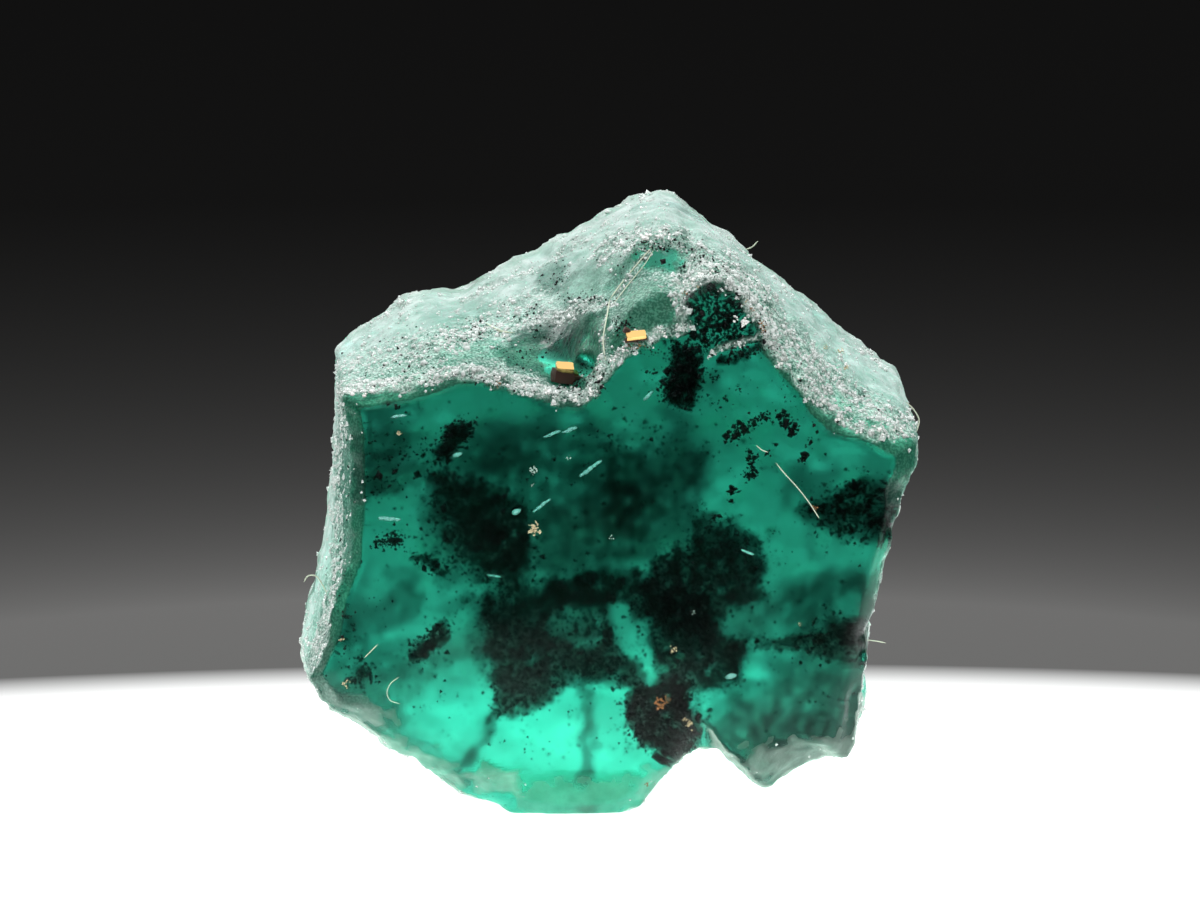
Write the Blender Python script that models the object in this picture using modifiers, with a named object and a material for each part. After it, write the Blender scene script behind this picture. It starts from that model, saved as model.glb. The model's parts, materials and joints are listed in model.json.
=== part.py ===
"""Trapiche emerald: a short six-sided prism of green beryl, chipped at its top corner and broken off below.

The crystal's long axis lies along Y, with the clear six-cornered face at -Y. The stone rests on the flat of
its broken lower end, and the origin is in the middle of that flat. Lengths below are in millimetres, and the
finished mesh is scaled to metres.
"""

import math

import bmesh
import bpy
import numpy as np
from mathutils import Euler, Matrix, Vector, noise

# Driving sizes
MM = 0.001
DEPTH = 3.2
AXIS_HEIGHT = 2.48
COLLECTION = "trapiche_emerald"
CUTTER_COLLECTION = "trapiche_emerald_cutters"

# The clear face's edge as (x, z), anticlockwise from the upper right corner
FRONT_OUTLINE = (
    (2.90, 3.36), (2.64, 3.52), (2.29, 3.61), (1.98, 3.79), (1.75, 4.05), (1.53, 4.29),
    (1.47, 4.48), (1.30, 4.72), (1.09, 4.92), (0.85, 4.82), (0.77, 4.66), (0.68, 4.48),
    (0.54, 4.41), (0.36, 4.36), (0.20, 4.23), (0.04, 4.09), (-0.04, 3.90), (-0.20, 3.79),
    (-0.40, 3.83), (-0.63, 3.90), (-0.85, 3.99), (-1.10, 4.04), (-1.35, 4.04), (-1.57, 3.96),
    (-1.84, 3.90), (-2.11, 3.85), (-2.31, 3.83), (-2.25, 3.52), (-2.23, 3.07), (-2.25, 2.34),
    (-2.40, 1.98), (-2.47, 1.61), (-2.65, 1.25), (-2.42, 0.93), (-2.20, 0.85), (-2.02, 0.70),
    (-1.89, 0.56), (-1.67, 0.48), (-1.48, 0.31), (-1.30, 0.20), (-1.03, 0.10), (-0.78, 0.04),
    (-0.49, 0.02), (-0.18, 0.01), (0.15, 0.02), (0.37, 0.10), (0.46, 0.20), (0.62, 0.35),
    (0.76, 0.48), (0.91, 0.57), (1.10, 0.56), (1.26, 0.37), (1.42, 0.21), (1.54, 0.18),
    (1.68, 0.29), (1.87, 0.39), (2.06, 0.47), (2.28, 0.45), (2.32, 0.60), (2.34, 0.83),
    (2.39, 1.16), (2.43, 1.61), (2.56, 2.20), (2.64, 2.52), (2.77, 2.98), (2.89, 3.19),
)

# The rear end's edge, where the six prism faces are whole apart from the broken base
REAR_OUTLINE = (
    (3.00, 3.43), (2.93, 3.66), (2.66, 3.86), (1.24, 5.00), (0.81, 5.32), (0.66, 5.38),
    (0.45, 5.33), (-1.26, 4.43), (-1.50, 4.43), (-1.78, 4.37), (-2.38, 3.90), (-2.40, 3.09),
    (-2.49, 2.23), (-2.70, 1.28), (-2.73, 0.89), (-2.47, 0.60), (-1.98, 0.41), (-1.44, 0.22),
    (-0.90, 0.06), (-0.76, 0.00), (0.81, 0.00), (1.26, 0.10), (1.80, 0.20), (2.34, 0.31),
    (2.59, 0.48), (2.64, 1.25), (2.74, 1.98), (2.97, 3.16),
)

# How far the side has risen from the front outline to the rear one, by angle about the axis in degrees and by
# share of the depth: low behind a chip's lip, then steep where the chip ends
RISE_STATIONS = (0.0, 0.06, 0.14, 0.24, 0.36, 0.50, 0.70, 1.0)
RISE = {
    -145: (0.0, 0.06, 0.15, 0.26, 0.38, 0.52, 0.72, 1.0),
    -110: (0.0, 0.20, 0.40, 0.60, 0.75, 0.85, 0.95, 1.0),
    -70: (0.0, 0.03, 0.08, 0.15, 0.26, 0.40, 0.62, 1.0),
    -58: (0.0, 0.03, 0.08, 0.15, 0.26, 0.40, 0.62, 1.0),
    -40: (0.0, 0.05, 0.12, 0.20, 0.32, 0.46, 0.68, 1.0),
    0: (0.0, 0.08, 0.16, 0.26, 0.38, 0.52, 0.72, 1.0),
    23: (0.0, 0.10, 0.20, 0.30, 0.42, 0.56, 0.74, 1.0),
    40: (0.0, 0.16, 0.30, 0.42, 0.54, 0.66, 0.82, 1.0),
    58: (0.0, 0.10, 0.24, 0.42, 0.58, 0.72, 0.86, 1.0),
    69: (0.0, 0.06, 0.20, 0.36, 0.66, 0.82, 0.92, 1.0),
    74: (0.0, 0.34, 0.42, 0.46, 0.72, 0.85, 0.93, 1.0),
    84: (0.0, 0.30, 0.38, 0.44, 0.66, 0.82, 0.91, 1.0),
    91: (0.0, 0.06, 0.30, 0.52, 0.66, 0.76, 0.87, 1.0),
    100: (0.0, 0.02, 0.08, 0.42, 0.62, 0.70, 0.84, 1.0),
    112: (0.0, 0.04, 0.12, 0.32, 0.50, 0.66, 0.84, 1.0),
    127: (0.0, 0.12, 0.26, 0.38, 0.50, 0.62, 0.80, 1.0),
    150: (0.0, 0.10, 0.20, 0.30, 0.42, 0.55, 0.75, 1.0),
    180: (0.0, 0.05, 0.12, 0.22, 0.34, 0.50, 0.72, 1.0),
}

# The worn border of the clear face, by angle: its width, and how far it has gone back at the edge
EDGE_WEAR = {
    -145: (0.22, 0.16),
    -122: (0.30, 0.24),
    -100: (0.10, 0.07),
    -78: (0.16, 0.10),
    -62: (0.40, 0.28),
    -45: (0.42, 0.34),
    -30: (0.22, 0.16),
    0: (0.12, 0.10),
    18: (0.34, 0.24),
    26: (0.30, 0.24),
    36: (0.14, 0.12),
    60: (0.07, 0.05),
    75: (0.07, 0.05),
    90: (0.10, 0.06),
    120: (0.12, 0.10),
    150: (0.20, 0.16),
    180: (0.09, 0.10),
}

# Crusty lumps on the top: angle, share of the depth, radius, height
LUMPS = (
    (82.0, 0.36, 0.11, 0.09),
    (77.5, 0.34, 0.13, 0.11),
    (73.0, 0.37, 0.12, 0.12),
    (70.0, 0.30, 0.10, 0.08),
    (119.0, 0.22, 0.12, 0.05),
    (131.0, 0.30, 0.16, 0.06),
    (52.0, 0.24, 0.13, 0.07),
    (44.0, 0.38, 0.15, 0.06),
    (30.0, 0.30, 0.14, 0.07),
    (24.0, 0.75, 0.20, 0.06),
    (-50.0, 0.30, 0.20, 0.06),
    (-35.0, 0.55, 0.24, 0.07),
    (170.0, 0.60, 0.22, 0.05),
    (200.0, 0.45, 0.26, 0.06),
    (5.0, 0.60, 0.25, 0.06),
)

# How the worn border curves back, and how the rear end bulges inside its rounded rim
WEAR_CURVE = 1.6
REAR_BULGE = 0.10
REAR_ROUNDING_WIDTH = 0.35

# The loft's counts, around the axis, along the sides and from an end's rim to its middle
AROUND = 300
SIDE_ROWS = 36
END_ROWS = 30
END_SPREAD = 0.8

# The solid's grain and size on disk
VOXEL = 0.07
TRIANGLES = 8800
SIDE_RELIEF = 0.040
SIDE_GRAIN = 0.30
CRUST_RELIEF = 0.022
CRUST_GRAIN = 0.13
FRONT_RELIEF = 0.015
FRONT_GRAIN = 0.70
REAR_RELIEF = 0.10
REAR_GRAIN = 0.75
REAR_STEPS = 0.5

# Where each kind of surface is looked up in the noise, so that they differ
CRUST_OFFSET = Vector((7.1, 3.3, 1.9))
REAR_OFFSET = Vector((2.0, 5.0, 8.0))

# How squarely a surface faces along the axis before it counts as an end, and how softly that sets in
END_FACING = 0.55
END_SOFTNESS = 0.35

# The lowest stretch is drawn down past the resting plane, which then cuts it flat
BASE_REACH = 0.25
BASE_DROP = 0.06
GROUND = ((0, 0, -1), (12, 12, 2), (0, 0, 0))

# Pyrite cubes grown into the top: centre, edges, turn in degrees
PYRITE = (
    ((-0.31, -1.10, 4.05), (0.16, 0.17, 0.17), (14, 22, 12)),
    ((-0.23, -1.08, 3.98), (0.12, 0.16, 0.14), (40, 10, 30)),
    ((0.31, -1.55, 4.38), (0.24, 0.14, 0.10), (10, -14, 8)),
    ((0.21, -1.53, 4.33), (0.11, 0.12, 0.10), (30, 20, 5)),
)

# Hollows: centre, half sizes, turn in degrees
PIT = ((-0.20, -1.18, 4.07), (0.22, 0.15, 0.14), (0, 20, 0))
PIT_ROUGHNESS = 0.22
PIT_GRAIN = 0.53
STEP_UNDER_CORNER = ((1.22, -1.62, 4.285), (0.27, 0.10, 0.035), (0, -17, 0))


def outline_radius(outline, angle):
    """The distance from the axis to a six-cornered outline along one angle."""
    ray = Vector((math.cos(angle), math.sin(angle)))
    nearest = None
    for index, (x, z) in enumerate(outline):
        start = Vector((x, z - AXIS_HEIGHT))
        next_x, next_z = outline[(index + 1) % len(outline)]
        side = Vector((next_x, next_z - AXIS_HEIGHT)) - start
        facing = ray.x * side.y - ray.y * side.x
        if abs(facing) < 1e-9:
            continue
        along_ray = (start.x * side.y - start.y * side.x) / facing
        along_side = (start.x * ray.y - start.y * ray.x) / facing
        if along_ray > 0 and -1e-6 <= along_side <= 1 + 1e-6:
            nearest = along_ray if nearest is None else max(nearest, along_ray)
    return nearest


def by_angle(table, angles):
    """Reads a table of rows by angle at every angle, going round past 180 degrees."""
    known = sorted(table)
    columns = np.array([table[angle] for angle in known], float)
    degrees = np.degrees(angles)
    return np.stack([np.interp(degrees, known, column, period=360) for column in columns.T], axis=1)


def side_rows(angles):
    """The rings of points from the clear face's edge to the rear end's edge."""
    front = np.array([outline_radius(FRONT_OUTLINE, angle) for angle in angles])
    rear = np.array([outline_radius(REAR_OUTLINE, angle) for angle in angles])
    rises = by_angle(RISE, angles)
    set_back = by_angle(EDGE_WEAR, angles)[:, 1]
    rows = []
    for share in np.linspace(0, 1, SIDE_ROWS + 1):
        rise = np.array([np.interp(share, RISE_STATIONS, row) for row in rises])
        radius = front + (rear - front) * rise
        y = -DEPTH / 2 + set_back * (1 - share) + DEPTH * share
        for lump_angle, lump_share, lump_radius, height in LUMPS:
            turned = (np.degrees(angles) - lump_angle + 180) % 360 - 180
            away = np.hypot(np.radians(turned) * radius, (share - lump_share) * DEPTH)
            radius = radius + height * np.exp(-((away / lump_radius) ** 2))
        rows.append((radius, y))
    return rows


def front_rows(angles, edge):
    """The rings of the clear face, from its worn rim to near its middle."""
    wear = by_angle(EDGE_WEAR, angles)
    rows = []
    for row in range(1, END_ROWS):
        radius = edge * (1 - (row / END_ROWS) ** END_SPREAD)
        inside = np.clip((edge - radius) / wear[:, 0], 0, 1)
        rows.append((radius, -DEPTH / 2 + wear[:, 1] * (1 - inside) ** WEAR_CURVE))
    return rows


def rear_rows(edge):
    """The rings of the rear end, which is broken nearly flat with a rounded rim."""
    rows = []
    for row in range(1, END_ROWS):
        share = 1 - (row / END_ROWS) ** END_SPREAD
        inside = np.clip((1 - share) * edge / REAR_ROUNDING_WIDTH, 0, 1)
        rows.append((edge * share, DEPTH / 2 + REAR_BULGE * (1 - (1 - inside) ** 2)))
    return rows


def crystal_mesh():
    """A loft from the clear face's middle over its edge and along the sides to the rear end's middle."""
    angles = np.linspace(-math.pi, math.pi, AROUND, endpoint=False)
    sides = side_rows(angles)
    front = front_rows(angles, sides[0][0])[::-1]
    rear = rear_rows(sides[-1][0])
    mesh = bmesh.new()
    rings = []
    for radius, y in front + sides + rear:
        ring = []
        for angle, reach, depth in zip(angles, radius, y):
            place = (reach * math.cos(angle), depth, AXIS_HEIGHT + reach * math.sin(angle))
            ring.append(mesh.verts.new(place))
        rings.append(ring)
    for first, second in zip(rings, rings[1:]):
        for index in range(AROUND):
            after = (index + 1) % AROUND
            mesh.faces.new((first[index], first[after], second[after], second[index]))
    for ring, y in ((rings[0], -DEPTH / 2), (rings[-1], DEPTH / 2 + REAR_BULGE)):
        middle = mesh.verts.new((0, y, AXIS_HEIGHT))
        for index in range(AROUND):
            mesh.faces.new((ring[index], ring[(index + 1) % AROUND], middle))
    bmesh.ops.recalc_face_normals(mesh, faces=mesh.faces)
    return mesh


def mesh_object(name, mesh, collection):
    """Turns a bmesh into an object of its collection."""
    data = bpy.data.meshes.new(name)
    mesh.to_mesh(data)
    mesh.free()
    obj = bpy.data.objects.new(name, data)
    collection.objects.link(obj)
    return obj


def helper(name, mesh, centre, sizes, turn, collection):
    """Scales, turns and places a unit shape, which is left out of the finished object."""
    turned = Euler([math.radians(angle) for angle in turn]).to_matrix().to_4x4()
    placed = Matrix.Translation(centre) @ turned @ Matrix.Diagonal((*sizes, 1))
    bmesh.ops.transform(mesh, matrix=placed, verts=mesh.verts)
    obj = mesh_object(name, mesh, collection)
    obj.hide_render = True
    obj.display_type = "WIRE"
    return obj


def hollow(name, centre, sizes, turn, collection):
    """A rough rounded cutter."""
    mesh = bmesh.new()
    bmesh.ops.create_icosphere(mesh, subdivisions=3, radius=1)
    for vertex in mesh.verts:
        vertex.co *= 1 + PIT_ROUGHNESS * noise.noise(vertex.co / PIT_GRAIN + Vector(centre))
    return helper(name, mesh, centre, sizes, turn, collection)


def block(name, centre, sizes, turn, collection):
    """A box, for a cube of pyrite, a groove or the plane that the stone rests on."""
    mesh = bmesh.new()
    bmesh.ops.create_cube(mesh, size=1)
    return helper(name, mesh, centre, sizes, turn, collection)


def boolean(obj, operation, other):
    """Cuts another object from this one, or joins it."""
    modifier = obj.modifiers.new(f"{operation.lower()} {other.name}", "BOOLEAN")
    modifier.operation = operation
    modifier.object = other


def apply_all(obj):
    """Takes the mesh that the modifiers make as the object's own."""
    bpy.context.view_layer.update()
    graph = bpy.context.evaluated_depsgraph_get()
    made = bpy.data.meshes.new_from_object(obj.evaluated_get(graph))
    before = obj.data
    obj.modifiers.clear()
    obj.data = made
    bpy.data.meshes.remove(before)


def relief(place, normal):
    """How far the broken and etched surface stands in or out at one point of the smooth form."""
    low = noise.noise(place / SIDE_GRAIN)
    fine = noise.noise(place / CRUST_GRAIN + CRUST_OFFSET)
    side = SIDE_RELIEF * low + CRUST_RELIEF * fine
    front_share = max(0.0, min(1.0, (-normal.y - END_FACING) / END_SOFTNESS))
    rear_share = max(0.0, min(1.0, (normal.y - END_FACING) / END_SOFTNESS))
    front = FRONT_RELIEF * noise.noise(place / FRONT_GRAIN)
    broken = noise.noise(place / REAR_GRAIN + REAR_OFFSET)
    rear = REAR_RELIEF * (broken - REAR_STEPS * abs(low)) + CRUST_RELIEF * fine
    return side * (1 - front_share - rear_share) + front * front_share + rear * rear_share


def roughen(obj):
    """Moves every point of the dense mesh along its normal by the relief there."""
    places = [vertex.co.copy() for vertex in obj.data.vertices]
    normals = [vertex.normal.copy() for vertex in obj.data.vertices]
    for vertex, place, normal in zip(obj.data.vertices, places, normals):
        vertex.co = place + normal * relief(place, normal)
        if place.z < BASE_REACH:
            vertex.co.z -= BASE_DROP * (1 - place.z / BASE_REACH)
    obj.data.update()


def emerald_material():
    """Green beryl, as it looks in one colour."""
    material = bpy.data.materials.new("emerald")
    material.use_nodes = True
    shader = material.node_tree.nodes["Principled BSDF"]
    shader.inputs["Base Color"].default_value = (0.01, 0.23, 0.16, 1)
    shader.inputs["Roughness"].default_value = 0.25
    shader.inputs["Metallic"].default_value = 0.0
    material.diffuse_color = (0.01, 0.23, 0.16, 1)
    return material


def emerald_crystal(collection, cutters):
    """The whole stone, with its chips, its pit and the pyrite grown into it."""
    obj = mesh_object("emerald_crystal", crystal_mesh(), collection)
    boolean(obj, "DIFFERENCE", hollow("pit", *PIT, cutters))
    remesh = obj.modifiers.new("even mesh", "REMESH")
    remesh.mode = "VOXEL"
    remesh.voxel_size = VOXEL
    apply_all(obj)
    roughen(obj)
    obj.data.calc_loop_triangles()
    decimate = obj.modifiers.new("fewer faces", "DECIMATE")
    decimate.ratio = TRIANGLES / len(obj.data.loop_triangles)
    apply_all(obj)
    boolean(obj, "DIFFERENCE", block("ground", *GROUND, cutters))
    boolean(obj, "DIFFERENCE", block("step_under_corner", *STEP_UNDER_CORNER, cutters))
    for number, (centre, sizes, turn) in enumerate(PYRITE, 1):
        boolean(obj, "UNION", block(f"pyrite_{number}", centre, sizes, turn, cutters))
    apply_all(obj)
    obj.data.transform(Matrix.Scale(MM, 4))
    obj.data.materials.clear()
    obj.data.materials.append(emerald_material())
    return obj


def main():
    for obj in list(bpy.data.objects):
        bpy.data.objects.remove(obj)
    collection = bpy.data.collections.new(COLLECTION)
    cutters = bpy.data.collections.new(CUTTER_COLLECTION)
    bpy.context.scene.collection.children.link(collection)
    bpy.context.scene.collection.children.link(cutters)
    emerald_crystal(collection, cutters)


main()
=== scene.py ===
"""Trapiche emerald, dressed: the clear green crystal with its carbon clouds, frosted prism faces and crusty chips.

Lengths are in millimetres until a piece is finished, which scales it to metres. The crystal's long axis lies
along Y, with the clear face at -Y. Places that the photo shows are given as its own pixels, 1200 by 900.
"""

import json
import math

import bmesh
import bpy
import numpy as np
from mathutils import Euler, Matrix, Vector, noise
from mathutils.bvhtree import BVHTree

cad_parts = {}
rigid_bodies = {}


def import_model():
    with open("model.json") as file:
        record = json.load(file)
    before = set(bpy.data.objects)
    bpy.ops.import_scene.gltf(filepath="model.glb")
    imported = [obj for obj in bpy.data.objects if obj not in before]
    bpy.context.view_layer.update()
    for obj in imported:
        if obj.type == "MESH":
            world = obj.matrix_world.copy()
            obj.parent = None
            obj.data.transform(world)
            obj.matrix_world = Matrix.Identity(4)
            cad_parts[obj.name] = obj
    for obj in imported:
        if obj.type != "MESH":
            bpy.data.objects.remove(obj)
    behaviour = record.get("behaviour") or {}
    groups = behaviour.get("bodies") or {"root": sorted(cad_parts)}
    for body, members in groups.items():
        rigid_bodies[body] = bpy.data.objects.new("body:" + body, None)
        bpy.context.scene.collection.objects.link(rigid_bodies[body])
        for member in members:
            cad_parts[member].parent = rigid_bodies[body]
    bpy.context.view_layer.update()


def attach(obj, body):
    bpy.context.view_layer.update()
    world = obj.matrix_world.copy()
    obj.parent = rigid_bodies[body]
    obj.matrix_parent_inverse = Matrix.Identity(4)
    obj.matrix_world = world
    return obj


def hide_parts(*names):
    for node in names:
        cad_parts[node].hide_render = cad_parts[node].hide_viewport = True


# Driving sizes, the same as the solid's
MM = 0.001
DEPTH = 3.2
FRONT_Y = -DEPTH / 2
AXIS_HEIGHT = 2.48
BERYL_IOR = 1.577

# The clear face's edge as (x, z), anticlockwise from the upper right corner
FRONT_OUTLINE = (
    (2.90, 3.36), (2.64, 3.52), (2.29, 3.61), (1.98, 3.79), (1.75, 4.05), (1.53, 4.29),
    (1.47, 4.48), (1.30, 4.72), (1.09, 4.92), (0.85, 4.82), (0.77, 4.66), (0.68, 4.48),
    (0.54, 4.41), (0.36, 4.36), (0.20, 4.23), (0.04, 4.09), (-0.04, 3.90), (-0.20, 3.79),
    (-0.40, 3.83), (-0.63, 3.90), (-0.85, 3.99), (-1.10, 4.04), (-1.35, 4.04), (-1.57, 3.96),
    (-1.84, 3.90), (-2.11, 3.85), (-2.31, 3.83), (-2.25, 3.52), (-2.23, 3.07), (-2.25, 2.34),
    (-2.40, 1.98), (-2.47, 1.61), (-2.65, 1.25), (-2.42, 0.93), (-2.20, 0.85), (-2.02, 0.70),
    (-1.89, 0.56), (-1.67, 0.48), (-1.48, 0.31), (-1.30, 0.20), (-1.03, 0.10), (-0.78, 0.04),
    (-0.49, 0.02), (-0.18, 0.01), (0.15, 0.02), (0.37, 0.10), (0.46, 0.20), (0.62, 0.35),
    (0.76, 0.48), (0.91, 0.57), (1.10, 0.56), (1.26, 0.37), (1.42, 0.21), (1.54, 0.18),
    (1.68, 0.29), (1.87, 0.39), (2.06, 0.47), (2.28, 0.45), (2.32, 0.60), (2.34, 0.83),
    (2.39, 1.16), (2.43, 1.61), (2.56, 2.20), (2.64, 2.52), (2.77, 2.98), (2.89, 3.19),
)

# The rear end's edge
REAR_OUTLINE = (
    (3.00, 3.43), (2.93, 3.66), (2.66, 3.86), (1.24, 5.00), (0.81, 5.32), (0.66, 5.38),
    (0.45, 5.33), (-1.26, 4.43), (-1.50, 4.43), (-1.78, 4.37), (-2.38, 3.90), (-2.40, 3.09),
    (-2.49, 2.23), (-2.70, 1.28), (-2.73, 0.89), (-2.47, 0.60), (-1.98, 0.41), (-1.44, 0.22),
    (-0.90, 0.06), (-0.76, 0.00), (0.81, 0.00), (1.26, 0.10), (1.80, 0.20), (2.34, 0.31),
    (2.59, 0.48), (2.64, 1.25), (2.74, 1.98), (2.97, 3.16),
)

# How far the side has risen from the front outline to the rear one, by angle and by share of the depth
RISE_STATIONS = (0.0, 0.06, 0.14, 0.24, 0.36, 0.50, 0.70, 1.0)
RISE = {
    -145: (0.0, 0.06, 0.15, 0.26, 0.38, 0.52, 0.72, 1.0),
    -110: (0.0, 0.20, 0.40, 0.60, 0.75, 0.85, 0.95, 1.0),
    -70: (0.0, 0.03, 0.08, 0.15, 0.26, 0.40, 0.62, 1.0),
    -58: (0.0, 0.03, 0.08, 0.15, 0.26, 0.40, 0.62, 1.0),
    -40: (0.0, 0.05, 0.12, 0.20, 0.32, 0.46, 0.68, 1.0),
    0: (0.0, 0.08, 0.16, 0.26, 0.38, 0.52, 0.72, 1.0),
    23: (0.0, 0.10, 0.20, 0.30, 0.42, 0.56, 0.74, 1.0),
    40: (0.0, 0.16, 0.30, 0.42, 0.54, 0.66, 0.82, 1.0),
    58: (0.0, 0.10, 0.24, 0.42, 0.58, 0.72, 0.86, 1.0),
    69: (0.0, 0.06, 0.20, 0.36, 0.66, 0.82, 0.92, 1.0),
    74: (0.0, 0.34, 0.42, 0.46, 0.72, 0.85, 0.93, 1.0),
    84: (0.0, 0.30, 0.38, 0.44, 0.66, 0.82, 0.91, 1.0),
    91: (0.0, 0.06, 0.30, 0.52, 0.66, 0.76, 0.87, 1.0),
    100: (0.0, 0.02, 0.08, 0.42, 0.62, 0.70, 0.84, 1.0),
    112: (0.0, 0.04, 0.12, 0.32, 0.50, 0.66, 0.84, 1.0),
    127: (0.0, 0.12, 0.26, 0.38, 0.50, 0.62, 0.80, 1.0),
    150: (0.0, 0.10, 0.20, 0.30, 0.42, 0.55, 0.75, 1.0),
    180: (0.0, 0.05, 0.12, 0.22, 0.34, 0.50, 0.72, 1.0),
}

# The worn border of the clear face, by angle: its width, and how far it has gone back at the edge
EDGE_WEAR = {
    -145: (0.22, 0.16),
    -122: (0.30, 0.24),
    -100: (0.10, 0.07),
    -78: (0.16, 0.10),
    -62: (0.40, 0.28),
    -45: (0.42, 0.34),
    -30: (0.22, 0.16),
    0: (0.12, 0.10),
    18: (0.34, 0.24),
    26: (0.30, 0.24),
    36: (0.14, 0.12),
    60: (0.07, 0.05),
    75: (0.07, 0.05),
    90: (0.10, 0.06),
    120: (0.12, 0.10),
    150: (0.20, 0.16),
    180: (0.09, 0.10),
}

# Crusty lumps on the top: angle, share of the depth, radius, height
LUMPS = (
    (82.0, 0.36, 0.11, 0.09),
    (77.5, 0.34, 0.13, 0.11),
    (73.0, 0.37, 0.12, 0.12),
    (70.0, 0.30, 0.10, 0.08),
    (119.0, 0.22, 0.12, 0.05),
    (131.0, 0.30, 0.16, 0.06),
    (52.0, 0.24, 0.13, 0.07),
    (44.0, 0.38, 0.15, 0.06),
    (30.0, 0.30, 0.14, 0.07),
    (24.0, 0.75, 0.20, 0.06),
    (-50.0, 0.30, 0.20, 0.06),
    (-35.0, 0.55, 0.24, 0.07),
    (170.0, 0.60, 0.22, 0.05),
    (200.0, 0.45, 0.26, 0.06),
    (5.0, 0.60, 0.25, 0.06),
)
WEAR_CURVE = 1.6
REAR_BULGE = 0.10
REAR_ROUNDING_WIDTH = 0.35

# The fine mesh
AROUND = 420
SIDE_ROWS = 70
END_ROWS = 44
END_SPREAD = 0.8
VOXEL = 0.036

# The solid's relief, and the finer relief that only this mesh carries
SIDE_RELIEF = 0.040
SIDE_GRAIN = 0.30
CRUST_RELIEF = 0.022
CRUST_GRAIN = 0.13
FRONT_RELIEF = 0.015
FRONT_GRAIN = 0.70
REAR_RELIEF = 0.10
REAR_GRAIN = 0.75
REAR_STEPS = 0.5
CRUST_OFFSET = Vector((7.1, 3.3, 1.9))
REAR_OFFSET = Vector((2.0, 5.0, 8.0))
END_FACING = 0.55
END_SOFTNESS = 0.35
BASE_REACH = 0.25
BASE_DROP = 0.06

# Hollows: centre, half sizes, turn in degrees
PIT = ((-0.20, -1.18, 4.07), (0.22, 0.15, 0.14), (0, 20, 0))
PIT_ROUGHNESS = 0.22
PIT_GRAIN = 0.53
STEP_UNDER_CORNER = ((1.22, -1.62, 4.285), (0.27, 0.10, 0.035), (0, -17, 0))

# The photo's camera: how it stands to the stone, in degrees and millimetres
CAMERA_AZIMUTH = -2.0
CAMERA_ELEVATION = 8.0
CAMERA_DISTANCE = 60.0
CAMERA_TARGET = Vector((0.0, FRONT_Y, 3.34))
SENSOR = 36.0
LENS = 200.0
PHOTO_WIDTH = 1200
PHOTO_HEIGHT = 900
PIXEL = 0.009
FOCAL_PIXELS = LENS / SENSOR * PHOTO_WIDTH

random = np.random.default_rng(41)


# The camera and the photo's pixels

def camera_axes():
    """The photo camera's place, and its unit axes to the right, up and away from it."""
    azimuth = math.radians(CAMERA_AZIMUTH)
    elevation = math.radians(CAMERA_ELEVATION)
    back = Vector((
        math.sin(azimuth) * math.cos(elevation),
        -math.cos(azimuth) * math.cos(elevation),
        math.sin(elevation),
    ))
    right = Vector((math.cos(azimuth), math.sin(azimuth), 0))
    up = back.cross(right)
    return CAMERA_TARGET + back * CAMERA_DISTANCE, right, up, -back


def photo_pixels(places):
    """Where the photo shows each place, in its pixels."""
    eye, right, up, ahead = [np.array(axis) for axis in camera_axes()]
    away = places - eye
    scale = FOCAL_PIXELS / (away @ ahead)
    x = PHOTO_WIDTH / 2 + away @ right * scale
    y = PHOTO_HEIGHT / 2 - away @ up * scale
    return x, y


def behind_face(pixels, depth):
    """The places inside the crystal that show at these pixels through the clear face, this far behind it."""
    eye, right, up, ahead = [np.array(axis) for axis in camera_axes()]
    across = pixels[:, 0] - PHOTO_WIDTH / 2
    above = PHOTO_HEIGHT / 2 - pixels[:, 1]
    ray = ahead * FOCAL_PIXELS + right * across[:, None] + up * above[:, None]
    ray /= np.linalg.norm(ray, axis=1)[:, None]
    entry = eye + ray * ((FRONT_Y - eye[1]) / ray[:, 1])[:, None]
    bent = ray / BERYL_IOR
    bent[:, 1] = np.sqrt(1 - bent[:, 0] ** 2 - bent[:, 2] ** 2)
    return entry + bent * (depth / bent[:, 1])[:, None]


def add_camera():
    """The camera at the photo's place."""
    eye, right, up, ahead = camera_axes()
    data = bpy.data.cameras.new("camera")
    data.sensor_width = SENSOR
    data.lens = LENS
    data.clip_start = 1 * MM
    data.clip_end = 2000 * MM
    camera = bpy.data.objects.new("camera", data)
    camera.location = eye * MM
    camera.rotation_euler = ahead.to_track_quat("-Z", "Y").to_euler()
    bpy.context.scene.collection.objects.link(camera)
    bpy.context.scene.camera = camera


# The crystal's form

def outline_radius(outline, angle):
    """The distance from the axis to a six-cornered outline along one angle."""
    ray = Vector((math.cos(angle), math.sin(angle)))
    nearest = None
    for index, (x, z) in enumerate(outline):
        start = Vector((x, z - AXIS_HEIGHT))
        next_x, next_z = outline[(index + 1) % len(outline)]
        side = Vector((next_x, next_z - AXIS_HEIGHT)) - start
        facing = ray.x * side.y - ray.y * side.x
        if abs(facing) < 1e-9:
            continue
        along_ray = (start.x * side.y - start.y * side.x) / facing
        along_side = (start.x * ray.y - start.y * ray.x) / facing
        if along_ray > 0 and -1e-6 <= along_side <= 1 + 1e-6:
            nearest = along_ray if nearest is None else max(nearest, along_ray)
    return nearest


def by_angle(table, angles):
    """Reads a table of rows by angle at every angle, going round past 180 degrees."""
    known = sorted(table)
    columns = np.array([table[angle] for angle in known], float)
    degrees = np.degrees(angles)
    return np.stack([np.interp(degrees, known, column, period=360) for column in columns.T], axis=1)


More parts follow.
